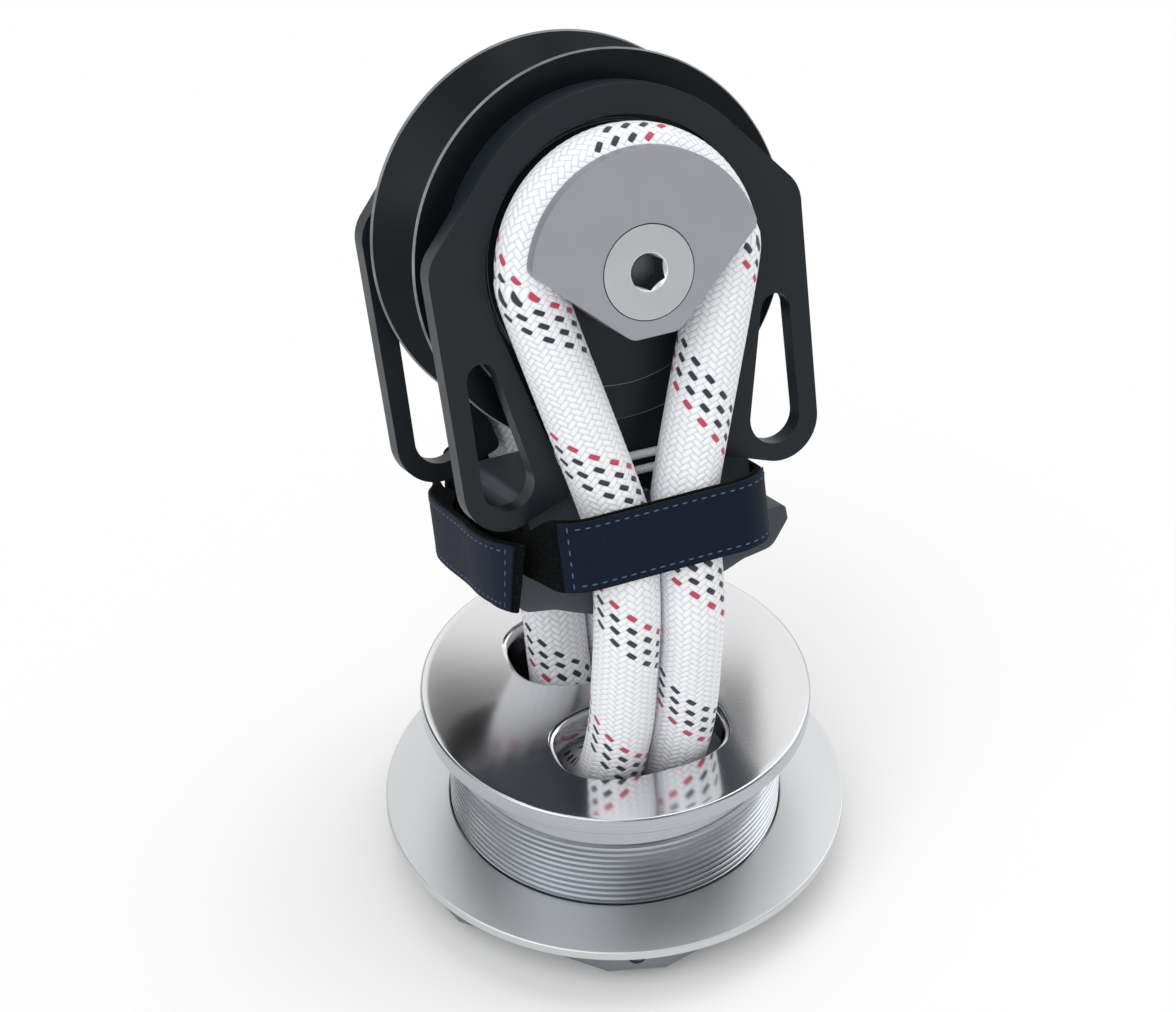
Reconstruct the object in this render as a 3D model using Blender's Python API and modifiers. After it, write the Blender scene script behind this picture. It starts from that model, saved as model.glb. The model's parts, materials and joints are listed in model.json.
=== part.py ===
"""Through-deck padeye with a loop block tied to its bridge bar.

The padeye is a dished flange with two oval eyes, a barrel through the deck, a backing disc and a
hex nut. The block hangs on an endless rope that passes under the bridge bar between the eyes.
Metres, +Z up, origin at the centre of the barrel's bottom face. The block is built in its own
axes: x to the right, y up along the cheeks and z along the axle towards the front.
"""
import math

import bmesh
import bpy
from mathutils import Matrix, Vector

# Fits
SEAT_GAP = 0.0003          # between faces that bear on each other
RUNNING_GAP = 0.0005       # beside a turning face
ROPE_GAP = 0.0006          # beside the strap
ROPE_SEAT = 0.0009         # between the rope and its post
CUT_REACH = 0.0020         # a cutter past the face that it cuts

# Padeye body
RIM_HEIGHT = 0.0550        # flange rim above the barrel's bottom
FLANGE_RADIUS = 0.0517
FLANGE_EDGE = 0.0050       # height of the flange's edge
FLANGE_LIP = 0.0010        # flat lip round the dish
DISH_DEPTH = 0.0034
DISH_RINGS = 5
NECK_RADIUS = 0.0437       # plain neck between the flange and the thread
NECK_LENGTH = 0.0116
BARREL_RADIUS = 0.0445
BARREL_CHAMFER = 0.0012
CAVITY_RADIUS = 0.0385
CAVITY_FILLET = 0.0040
FLOOR_THICKNESS = 0.0062   # dish floor
BOTTOM_THICKNESS = 0.0030
EDGE_ROUND = 0.0008

# Eyes and the bridge bar
EYE_HALF_LENGTH = 0.0224
EYE_HALF_WIDTH = 0.0137
EYE_CENTRE = 0.0192        # from the padeye's axis
EYE_LIP = 0.0018           # rounding of the eye's upper edge
EYE_LIP_REACH = 1.2        # the cutter's flare above the lip, in lips
EYE_SQUARENESS = 2.6       # exponent of the superellipse
EYE_POINTS = 32
BAR_DEPTH = 0.0152         # underside of the bar below the rim
BAR_ROUND = 0.8            # share of the bar's half width
BAR_LENGTH = 1.6           # in cavity radii, well into the wall

# Backing disc and nut
DISC_TOP_DEPTH = 0.0377    # below the rim
DISC_RADIUS = 0.06205
DISC_THICKNESS = 0.0028
DISC_EDGE = 0.0004
NUT_HEIGHT = 0.0095
NUT_APOTHEM = 0.0528
NUT_CORNER_DISTANCE = 0.0566
NUT_TURN = math.radians(-103.5)
GRUB_RADIUS = 0.0014
GRUB_LENGTH = 0.0060
GRUB_RECESS = 0.0012

# How the block stands
HINGE_HEIGHT = 0.0300      # bend of the rope above the rim
LEAN = math.radians(-20.92)
TWIST = math.radians(5.5)
SIDE_SHIFT = 0.00195
AXLE_HEIGHT = 0.0971       # along the block, above the bend

# Sheave and its bearing
SHEAVE_RADIUS = 0.0500
SHEAVE_HALF_WIDTH = 0.0154
RIM_LAND = 0.0012
GROOVE_RADIUS = 0.0096
GROOVE_CENTRE = 0.0476
GROOVE_HALF_ANGLE = math.radians(50)
RACE_BORE = 0.0300
WASHER_OUTER = 0.0375
WASHER_THICKNESS = 0.0012
ROLLER_RADIUS = 0.0029
ROLLER_HALF_LENGTH = 0.0120
ROLLER_COUNT = 14
CAGE_WALL = 0.0030
CAGE_HALF_LENGTH = 0.0138

# Side plates, stacked along the axle
PLATE_THICKNESS = 0.0044
PLATE_RADIUS = 0.0425
REGISTER_RADIUS = 0.0334
REGISTER_THICKNESS = 0.0012
TONGUE_HALF_WIDTH = 0.0110
TONGUE_THICKNESS = 0.0024
TONGUE_DROP = 0.0077       # its end below the saddle's ledge
TONGUE_ROUND = 0.0060

# Cheeks: corners are (x, y, radius) from the axle
CHEEK_THICKNESS = 0.0055
CHEEK_TOP_RADIUS = 0.0430
CHEEK_TOP_END = math.radians(40)
CHEEK_SHOULDER = (0.0500, 0.0080, 0.0100)
CHEEK_HEEL = (0.0480, -0.0660, 0.0110)
CHEEK_TOE = (0.0204, -0.0562, 0.0020)
CHEEK_BEVEL = 0.0008
ARCH_RADIUS = 0.0355
ARCH_END = math.radians(-17)
SLOT_TOP = (0.0398, -0.0220, 0.0040)
SLOT_BOTTOM = (0.0366, -0.0498, 0.0069)
CHEEK_SCREW_RADIUS = 0.0015
CHEEK_SCREW_HEAD = 0.0028
CHEEK_SCREW_LENGTH = 0.0080
CHEEK_SCREW_SUNK = 0.0001
CHEEK_SCREW_CIRCLE = 0.0388
CHEEK_SCREW_ANGLES = (90.0, 192.0, 348.0)

# Posts and caps
POST_FLARE = 0.0203
CAP_GAP = 0.0003           # between the rope and the cap
CAP_THICKNESS = 0.0036
CAP_RADIUS = 0.0305
CAP_TOP_END = math.radians(18)
CAP_CORNER = (0.02995, 0.0058, 0.0030)
CAP_FOOT = (0.0062, -0.0160, 0.0040)
CAP_BEVEL = 0.0009
SCREW_RADIUS = 0.0060
SCREW_HEAD_RADIUS = 0.01175
SCREW_LENGTH = 0.0390
HEAD_LAND = 0.0004         # straight edge of a countersunk head
SOCKET_ACROSS_FLATS = 0.0080
SOCKET_DEPTH = 0.0060

# Base saddle
SADDLE_TOP = 0.0585        # below the axle
SADDLE_TOP_ROUND = 0.0030
SADDLE_BELT = 0.0330       # half width in the strap's groove
SADDLE_LEDGE = 0.0758      # lower edge of the groove, below the axle
SADDLE_WAIST_ROUND = 0.0010
SADDLE_FOOT = [(0.0395, 0.0, 0.0012), (0.0398, 0.0039, 0.0014), (0.0345, 0.0104, 0.0050),
               (0.0262, 0.0118, 0.0060), (0.0120, 0.0188, 0.0080)]    # x, depth below the ledge, radius
SADDLE_FOOT_DEPTH = 0.0194
SADDLE_SKIRT_ROUND = 0.0110
SADDLE_SCREW_RADIUS = 0.0025
SADDLE_SCREW_HEAD = 0.0045
SADDLE_SCREW_HEAD_HEIGHT = 0.0026
SADDLE_SCREW_LENGTH = 0.0100
SADDLE_SCREW_DROP = 0.0077      # upper screw below the saddle's top
SADDLE_SCREW_RISE = 0.0067      # lower screw above the tongue's end
SADDLE_SCREW_CHAMFER = 0.0009
SADDLE_HEAD_EDGE = 0.0010       # straight edge of its head

# Rope: in the block's axes down to its foot, below that in the padeye's
ROPE_RADIUS = 0.0085
ROPE_PLANE = 0.0305        # centre of the rope from the block's middle
ROPE_CIRCLE = 0.0260       # its centre line round the axle
ROPE_LEAVES = math.radians(-17)
ROPE_SPREAD = (-0.0120, 0.0082)
ROPE_SPREAD_DEPTH = 0.0600
ROPE_FEET = (-0.0106, 0.0068)
ROPE_FOOT_DEPTHS = (0.0720, 0.0800)
ROPE_PAIR = 0.0087         # each strand from the middle of its pair
ROPE_STEP = 0.0110
FRONT_LEGS = [(0.0028, -0.0249, 0.0430), (0.0024, -0.0245, 0.0260), (0.0020, -0.0233, 0.0090),
              (0.0010, -0.0198, -0.0080), (0.0003, -0.0140, -0.0196)]    # x, y, height above the rim
REAR_LEGS = [(-0.0006, 0.0296, 0.0225), (-0.0004, 0.0245, 0.0080), (-0.0002, 0.0205, -0.0060),
             (-0.0001, 0.0143, -0.0194)]
UNDER_BAR = (0.0, 0.0, -0.0250)
ROPE_ARC_STEP = math.radians(22)

# Strap and tie cord, in the block's axes: (x, l) with l towards the front
STRAP_THICKNESS = 0.0018
STRAP_GAP = 0.0003
BELT_WIDTH = 0.0125        # width that shows beside the saddle, where the strap is folded in
FRONT_DROP = 0.0021        # the strap over the legs is wider than that, below
FRONT_RISE = 0.0044        # and above
STRAP_ROUND = 0.0100
STRAP_SPREAD_END = 0.0040  # full width this far before the legs
STRAP_SHOULDER = 0.0270
STRAP_SIDE = 0.0260
TAIL_DROP = 0.0096         # the tail hangs lower than the belt
TAIL_WIDTH = 0.0185
TAIL_ROUTE = [(-0.0363, -0.0300), (-0.0379, -0.0268), (-0.0412, -0.0218), (-0.0418, -0.0120),
              (-0.0420, 0.0030), (-0.0426, 0.0130), (-0.0418, 0.0220), (-0.0390, 0.0300), (-0.0347, 0.0360)]
TIE_RADIUS = 0.0011
TIE_STEP = 0.0070
TIE_PITCH = 0.0040
TIE_START = 0.0524         # below the axle
TIE_LEAD = 2               # route points past one full turn at either end
TIE_ROUND = [(-0.0140, 0.0201), (0.0, 0.0201), (0.0140, 0.0201), (0.0220, 0.0150), (0.0260, 0.0),
             (0.0220, -0.0150), (0.0140, -0.0201), (0.0, -0.0201), (-0.0140, -0.0201), (-0.0220, -0.0150),
             (-0.0280, 0.0), (-0.0230, 0.0150)]

STEPS_LARGE = 52
STEPS_MEDIUM = 28
STEPS_SMALL = 12
STEPS_ROLLER = 10
ARC_STEP = math.radians(18)
POST_ARC_STEP = math.radians(20)
EDGE_STEP = math.radians(30)
EYE_LIP_ANGLES = (30, 60, 80)

# Places that follow from the sizes
THREAD_TOP = RIM_HEIGHT - FLANGE_EDGE - NECK_LENGTH
DISC_TOP = RIM_HEIGHT - DISC_TOP_DEPTH
NUT_TOP = DISC_TOP - DISC_THICKNESS - SEAT_GAP
NUT_MIDDLE = NUT_TOP - NUT_HEIGHT / 2
BACKING_BORE = BARREL_RADIUS + SEAT_GAP
HINGE = Vector((0, 0, RIM_HEIGHT + HINGE_HEIGHT))
PLATE_INNER = SHEAVE_HALF_WIDTH + RUNNING_GAP
PLATE_OUTER = PLATE_INNER + PLATE_THICKNESS
TONGUE_OUTER = PLATE_INNER + TONGUE_THICKNESS
REGISTER_OUTER = PLATE_OUTER + REGISTER_THICKNESS
CHEEK_INNER = PLATE_OUTER + SEAT_GAP
CHEEK_OUTER = CHEEK_INNER + CHEEK_THICKNESS
SADDLE_HALF_THICKNESS = CHEEK_INNER - SEAT_GAP
SADDLE_BOTTOM = SADDLE_LEDGE + SADDLE_FOOT_DEPTH
TONGUE_END = SADDLE_LEDGE + TONGUE_DROP
SADDLE_SCREW_ROWS = (SADDLE_TOP + SADDLE_SCREW_DROP, TONGUE_END - SADDLE_SCREW_RISE)
BELT_LOWER = -SADDLE_LEDGE + ROPE_GAP
STRAP_BELT = (BELT_LOWER, BELT_LOWER + BELT_WIDTH)
TAIL_EDGES = (BELT_LOWER - TAIL_DROP, BELT_LOWER - TAIL_DROP + TAIL_WIDTH)
STRAP_FRONT = (BELT_LOWER - FRONT_DROP, BELT_LOWER + BELT_WIDTH + FRONT_RISE)
CAP_INNER = ROPE_PLANE + ROPE_RADIUS + CAP_GAP
CAP_OUTER = CAP_INNER + CAP_THICKNESS
POST_INNER = REGISTER_OUTER + SEAT_GAP
POST_OUTER = CAP_INNER - SEAT_GAP
WASHER_OUTER_FACE = PLATE_INNER - SEAT_GAP
WASHER_SEAT = WASHER_OUTER_FACE - WASHER_THICKNESS - RUNNING_GAP
RACE_RADIUS = RACE_BORE - 2 * ROLLER_RADIUS - 2 * SEAT_GAP
RACE_HALF_LENGTH = PLATE_INNER - SEAT_GAP
ROLLER_CIRCLE = RACE_RADIUS + SEAT_GAP + ROLLER_RADIUS
SCREW_BORE = SCREW_RADIUS + SEAT_GAP


def clear_scene():
    for ob in list(bpy.data.objects):
        bpy.data.objects.remove(ob, do_unlink=True)


def new_collection(name):
    found = bpy.data.collections.new(name)
    bpy.context.scene.collection.children.link(found)
    return found


def make_material(name, colour, roughness, metallic):
    mat = bpy.data.materials.new(name)
    mat.use_nodes = True
    shader = mat.node_tree.nodes["Principled BSDF"]
    shader.inputs["Base Color"].default_value = (*colour, 1.0)
    shader.inputs["Roughness"].default_value = roughness
    shader.inputs["Metallic"].default_value = metallic
    mat.diffuse_color = (*colour, 1.0)
    return mat


clear_scene()
PARTS = new_collection("padeye")
CUTTERS = new_collection("cutters")
POLISHED = make_material("polished_stainless", (0.78, 0.78, 0.79), 0.08, 1.0)
TURNED = make_material("turned_stainless", (0.60, 0.61, 0.62), 0.30, 1.0)
BLACK = make_material("black_anodised", (0.024, 0.028, 0.034), 0.42, 0.6)
GREY = make_material("grey_anodised", (0.30, 0.31, 0.33), 0.45, 0.7)
BEARING = make_material("bearing_polymer", (0.50, 0.45, 0.34), 0.50, 0.0)
STEEL = make_material("screw_stainless", (0.50, 0.51, 0.52), 0.35, 1.0)
ROPE = make_material("white_braid", (0.82, 0.83, 0.85), 0.85, 0.0)
NAVY = make_material("navy_webbing", (0.012, 0.020, 0.050), 0.90, 0.0)


def block_axes():
    """Parent empties: one on the bend of the rope, one in the block's own axes at the axle."""
    bend = bpy.data.objects.new("block_bend", None)
    bend.location = HINGE
    bend.rotation_euler = (LEAN, 0, 0)
    PARTS.objects.link(bend)
    axle = bpy.data.objects.new("axle_axes", None)
    axle.parent = bend
    axle.location = (SIDE_SHIFT, 0, AXLE_HEIGHT)
    axle.rotation_mode = "QUATERNION"
    turn = Matrix.Rotation(TWIST, 3, "Z") @ Matrix.Rotation(math.pi / 2, 3, "X")
    axle.rotation_quaternion = turn.to_quaternion()
    PARTS.objects.link(axle)
    bpy.context.view_layer.update()
    return axle


AXLE = block_axes()


def place(ob, mat=None, parent=None, cutter=False):
    (CUTTERS if cutter else PARTS).objects.link(ob)
    if mat:
        ob.data.materials.append(mat)
    if parent:
        ob.parent = parent
    if cutter:
        ob.hide_render = True
        ob.display_type = "WIRE"
    return ob


def smooth(mesh, angle=35):
    mesh.shade_smooth()
    mesh.set_sharp_from_angle(angle=math.radians(angle))


def add_bevel(ob, width, segments=1, angle=40):
    mod = ob.modifiers.new("edges", "BEVEL")
    mod.width = width
    mod.segments = segments
    mod.limit_method = "ANGLE"
    mod.angle_limit = math.radians(angle)
    return mod


def combine(ob, other, operation):
    mod = ob.modifiers.new(operation.lower(), "BOOLEAN")
    mod.operation = operation
    mod.object = other
    mod.solver = "EXACT"


def turned(name, profile, mat=None, parent=None, steps=STEPS_MEDIUM, closed=False, cutter=False):
    """Screw a profile of (radius, height) points about z; closed joins its last point to its first."""
    mesh = bpy.data.meshes.new(name)
    count = len(profile)
    edges = [(i, i + 1) for i in range(count - 1)]
    if closed:
        edges.append((count - 1, 0))
    mesh.from_pydata([(r, 0, z) for r, z in profile], edges, [])
    ob = place(bpy.data.objects.new(name, mesh), mat, parent, cutter)
    mod = ob.modifiers.new("turn", "SCREW")
    mod.axis = "Z"
    mod.steps = steps
    mod.render_steps = steps
    mod.use_merge_vertices = True
    mod.merge_threshold = 0.00001
    mod.use_smooth_shade = True
    return ob


def arc(cx, cy, radius, start, end, step=ARC_STEP):
    count = max(2, math.ceil(abs(end - start) / step - 1e-6))
    return [(cx + radius * math.cos(start + (end - start) * i / count),
             cy + radius * math.sin(start + (end - start) * i / count)) for i in range(count + 1)]


def rounded(corners):
    """Closed outline through (x, y, radius) corners, each corner an arc of its radius."""
    outline = []
    count = len(corners)
    for i, (x, y, radius) in enumerate(corners):
        here = Vector((x, y))
        if radius <= 0:
            outline.append((x, y))
            continue
        before = (Vector(corners[i - 1][:2]) - here).normalized()
        after = (Vector(corners[(i + 1) % count][:2]) - here).normalized()
        half = before.angle(after) / 2
        centre = here + (before + after).normalized() * radius / math.sin(half)
        first = here + before * radius / math.tan(half) - centre
        last = here + after * radius / math.tan(half) - centre
        start = math.atan2(first.y, first.x)
        sweep = (math.atan2(last.y, last.x) - start + math.pi) % (2 * math.pi) - math.pi
        outline += arc(centre.x, centre.y, radius, start, start + sweep)
    return outline


def tapered_slot(top, bottom):
    """Outline round two circles given as (x, y, radius)."""
    span = Vector(top[:2]) - Vector(bottom[:2])
    along = math.atan2(span.y, span.x)
    lean = math.acos((bottom[2] - top[2]) / span.length)
    return (arc(*top, along - lean, along + lean)
            + arc(*bottom, along + lean, along + 2 * math.pi - lean))


def sheet(name, outlines, low, high, mat=None, parent=None, cutter=False):
    """Flat piece from closed outlines in x and y, between two heights on z."""
    curve = bpy.data.curves.new(name, "CURVE")
    curve.dimensions = "2D"
    curve.fill_mode = "BOTH"
    curve.extrude = (high - low) / 2
    for outline in outlines:
        spline = curve.splines.new("POLY")
        spline.points.add(len(outline) - 1)
        for point, (x, y) in zip(spline.points, outline):
            point.co = (x, y, 0, 1)
        spline.use_cyclic_u = True
    flat = bpy.data.objects.new(name + "_outline", curve)
    bpy.context.scene.collection.objects.link(flat)
    bpy.context.view_layer.update()
    mesh = bpy.data.meshes.new_from_object(flat.evaluated_get(bpy.context.evaluated_depsgraph_get()))
    bpy.data.objects.remove(flat)
    mesh.name = name
    bm = bmesh.new()
    bm.from_mesh(mesh)
    bmesh.ops.remove_doubles(bm, verts=bm.verts, dist=0.000001)
    bmesh.ops.translate(bm, verts=bm.verts, vec=(0, 0, (low + high) / 2))
    bmesh.ops.dissolve_limit(bm, angle_limit=0.001, verts=bm.verts, edges=bm.edges)
    bm.to_mesh(mesh)
    bm.free()
    smooth(mesh)
    return place(bpy.data.objects.new(name, mesh), mat, parent, cutter)


def rod(name, radius, low, high, mat=None, parent=None, cutter=False, segments=STEPS_SMALL):
    """Cylinder along z."""
    mesh = bpy.data.meshes.new(name)
    bm = bmesh.new()
    bmesh.ops.create_cone(bm, cap_ends=True, segments=segments, radius1=radius, radius2=radius,
                          depth=high - low)
    bmesh.ops.translate(bm, verts=bm.verts, vec=(0, 0, (low + high) / 2))
    bm.to_mesh(mesh)
    bm.free()
    smooth(mesh)
    return place(bpy.data.objects.new(name, mesh), mat, parent, cutter)


def block(name, low, high, mat=None, parent=None, cutter=False, round_width=0.0):
    """Box between two corners."""
    mesh = bpy.data.meshes.new(name)
    bm = bmesh.new()
    bmesh.ops.create_cube(bm, size=1.0)
    bmesh.ops.scale(bm, verts=bm.verts, vec=[b - a for a, b in zip(low, high)])
    bmesh.ops.translate(bm, verts=bm.verts, vec=[(a + b) / 2 for a, b in zip(low, high)])
    bm.to_mesh(mesh)
    bm.free()
    ob = place(bpy.data.objects.new(name, mesh), mat, parent, cutter)
    if round_width:
        add_bevel(ob, round_width, 3)
    return ob


def smooth_route(points, closed, step):
    """Points at even steps along a smooth curve through the route's own points."""
    points = [Vector(p) for p in points]
    count = len(points)
    pieces = count if closed else count - 1
    fine = []
    for i in range(pieces):
        if closed:
            a, b, c, d = (points[(i + k) % count] for k in (-1, 0, 1, 2))
        else:
            a, b = points[max(i - 1, 0)], points[i]
            c, d = points[i + 1], points[min(i + 2, count - 1)]
        for s in range(16):
            t = s / 16
            fine.append(0.5 * (2 * b + (c - a) * t + (2 * a - 5 * b + 4 * c - d) * t ** 2
                               + (3 * b - a - 3 * c + d) * t ** 3))
    fine.append(points[0].copy() if closed else points[-1].copy())
    length = [0.0]
    for p, q in zip(fine, fine[1:]):
        length.append(length[-1] + (q - p).length)
    number = max(2, round(length[-1] / step))
    route = []
    at = 0
    for k in range(number if closed else number + 1):
        want = length[-1] * k / number
        while at < len(length) - 2 and length[at + 1] < want:
            at += 1
        share = (want - length[at]) / max(length[at + 1] - length[at], 1e-9)
        route.append(fine[at].lerp(fine[at + 1], share))
    return route


def tube(name, route, radius, mat, closed, resolution=2):
    """Round cord along a route in world coordinates."""
    curve = bpy.data.curves.new(name, "CURVE")
    curve.dimensions = "3D"
    curve.bevel_depth = radius
    curve.bevel_resolution = resolution
    curve.use_fill_caps = not closed
    spline = curve.splines.new("POLY")
    spline.points.add(len(route) - 1)
    for point, co in zip(spline.points, route):
        point.co = (*co, 1)
    spline.use_cyclic_u = closed
    return place(bpy.data.objects.new(name, curve), mat)


def side_axes(name, turn):
    """Axes of one side of the block, z pointing outwards along the axle."""
    ob = bpy.data.objects.new(name, None)
    ob.parent = AXLE
    ob.rotation_euler = (0, turn, 0)
    PARTS.objects.link(ob)
    return ob


SIDES = {"front": side_axes("front_axes", 0.0), "rear": side_axes("rear_axes", math.pi)}


# Padeye body
def eye_cutter(name, centre_y):
    """Plug through one eye, flared to round the eye's upper edge."""
    top = RIM_HEIGHT - DISH_DEPTH
    levels = [(RIM_HEIGHT - BAR_DEPTH - CUT_REACH, 0.0), (top - EYE_LIP, 0.0)]
    for a in map(math.radians, EYE_LIP_ANGLES):
        levels.append((top - EYE_LIP * (1 - math.sin(a)), EYE_LIP * (1 - math.cos(a))))
    levels.append((RIM_HEIGHT + CUT_REACH, EYE_LIP * EYE_LIP_REACH))
    bm = bmesh.new()
    ring = []
    for i in range(EYE_POINTS):
        a = 2 * math.pi * i / EYE_POINTS
        c, s = math.cos(a), math.sin(a)
        size = (abs(c) ** EYE_SQUARENESS + abs(s) ** EYE_SQUARENESS) ** (-1 / EYE_SQUARENESS)
        ring.append(bm.verts.new((EYE_HALF_LENGTH * c * size, centre_y + EYE_HALF_WIDTH * s * size,
                                  levels[0][0])))
    bm.faces.new(ring)
    edges = list(bm.edges)
    for (z_before, grow_before), (z, grow) in zip(levels, levels[1:]):
        made = bmesh.ops.extrude_edge_only(bm, edges=edges)["geom"]
        verts = [v for v in made if isinstance(v, bmesh.types.BMVert)]
        edges = [e for e in made
                 if isinstance(e, bmesh.types.BMEdge) and e.verts[0] in verts and e.verts[1] in verts]
        factor = ((EYE_HALF_LENGTH + grow) / (EYE_HALF_LENGTH + grow_before),
                  (EYE_HALF_WIDTH + grow) / (EYE_HALF_WIDTH + grow_before), 1)
        bmesh.ops.scale(bm, verts=verts, vec=factor, space=Matrix.Translation((0, -centre_y, 0)))
        bmesh.ops.translate(bm, verts=verts, vec=(0, 0, z - z_before))
    bmesh.ops.holes_fill(bm, edges=edges)
    bmesh.ops.recalc_face_normals(bm, faces=bm.faces)
    mesh = bpy.data.meshes.new(name)
    bm.to_mesh(mesh)
    bm.free()
    return place(bpy.data.objects.new(name, mesh), cutter=True)


def padeye_body():
    inner = FLANGE_RADIUS - FLANGE_LIP
    curve_radius = (inner ** 2 + DISH_DEPTH ** 2) / (2 * DISH_DEPTH)
    profile = []
    for i in range(DISH_RINGS + 1):
        r = inner * i / DISH_RINGS
        profile.append((r, RIM_HEIGHT - DISH_DEPTH + curve_radius - math.sqrt(curve_radius ** 2 - r ** 2)))
    under = RIM_HEIGHT - FLANGE_EDGE
    profile += arc(FLANGE_RADIUS - EDGE_ROUND, RIM_HEIGHT - EDGE_ROUND, EDGE_ROUND, math.pi / 2, 0, EDGE_STEP)
    profile += arc(FLANGE_RADIUS - EDGE_ROUND / 2, under + EDGE_ROUND / 2, EDGE_ROUND / 2, 0, -math.pi / 2,
                   EDGE_STEP)
    profile += [(NECK_RADIUS, under), (NECK_RADIUS, THREAD_TOP), (BARREL_RADIUS, THREAD_TOP),
                (BARREL_RADIUS, BARREL_CHAMFER), (BARREL_RADIUS - BARREL_CHAMFER, 0), (0, 0)]
    body = turned("padeye_body", profile, POLISHED, steps=STEPS_LARGE)
    roof = RIM_HEIGHT - DISH_DEPTH - FLOOR_THICKNESS
    cavity = [(0, roof)]
    cavity += arc(CAVITY_RADIUS - CAVITY_FILLET, roof - CAVITY_FILLET, CAVITY_FILLET, math.pi / 2, 0,
                  EDGE_STEP)
    cavity += [(CAVITY_RADIUS, BOTTOM_THICKNESS), (0, BOTTOM_THICKNESS)]
    combine(body, turned("cavity", cavity, cutter=True), "DIFFERENCE")
    bar_half = EYE_CENTRE - EYE_HALF_WIDTH
    bar_end = CAVITY_RADIUS * BAR_LENGTH / 2
    bar = block("bridge_bar", (-bar_end, -bar_half, RIM_HEIGHT - BAR_DEPTH),
                (bar_end, bar_half, roof + FLOOR_THICKNESS / 2), cutter=True,
                round_width=bar_half * BAR_ROUND)
    combine(body, bar, "UNION")
    combine(body, eye_cutter("front_eye", -EYE_CENTRE), "DIFFERENCE")
    combine(body, eye_cutter("rear_eye", EYE_CENTRE), "DIFFERENCE")


def backing():
    edge = DISC_EDGE
    low = DISC_TOP - DISC_THICKNESS
    disc = [(BACKING_BORE, DISC_TOP), (DISC_RADIUS - edge, DISC_TOP), (DISC_RADIUS, DISC_TOP - edge),
            (DISC_RADIUS, low + edge), (DISC_RADIUS - edge, low), (BACKING_BORE, low)]
    turned("backing_disc", disc, TURNED, steps=STEPS_LARGE, closed=True)
    half = (NUT_APOTHEM - NUT_CORNER_DISTANCE * math.cos(math.pi / 6)) / math.sin(math.pi / 6)
    corners = []
    for i in range(6):
        turn = Matrix.Rotation(math.radians(60 * i) + NUT_TURN, 2)
        corners += [tuple(turn @ Vector((NUT_CORNER_DISTANCE, side * half))) for side in (-1, 1)]
    bore = arc(0, 0, BACKING_BORE, 0, 2 * math.pi, 2 * math.pi / STEPS_LARGE)[:-1]
    nut = sheet("hex_nut", [corners, bore], NUT_TOP - NUT_HEIGHT, NUT_TOP, TURNED)
    add_bevel(nut, EDGE_ROUND)
    outer_end = NUT_CORNER_DISTANCE - GRUB_RECESS
    hole = rod("grub_hole", GRUB_RADIUS + SEAT_GAP, BACKING_BORE - GRUB_RECESS,
               NUT_CORNER_DISTANCE + GRUB_RECESS, cutter=True)
    grub = rod("nut_grub_screw", GRUB_RADIUS, outer_end - GRUB_LENGTH, outer_end, mat=STEEL)
    for ob in (hole, grub):
        ob.location = (0, 0, NUT_MIDDLE)
        ob.rotation_euler = (0, math.pi / 2, NUT_TURN)
    combine(nut, hole, "DIFFERENCE")


# Sheave and bearing
def sheave():
    edge = RIM_LAND / 3
    wall = SHEAVE_HALF_WIDTH - RIM_LAND
    washer_edge = WASHER_OUTER + RUNNING_GAP
    side = [(RACE_BORE, WASHER_SEAT), (washer_edge, WASHER_SEAT), (washer_edge, SHEAVE_HALF_WIDTH),
            (SHEAVE_RADIUS - edge, SHEAVE_HALF_WIDTH), (SHEAVE_RADIUS, SHEAVE_HALF_WIDTH - edge),
            (SHEAVE_RADIUS, wall + edge), (SHEAVE_RADIUS - edge, wall)]
    groove = arc(GROOVE_CENTRE, 0, GROOVE_RADIUS, math.pi - GROOVE_HALF_ANGLE, math.pi + GROOVE_HALF_ANGLE)
    section = side + groove + [(r, -z) for r, z in reversed(side)]
    turned("sheave", section, BLACK, AXLE, steps=STEPS_LARGE, closed=True)


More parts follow.
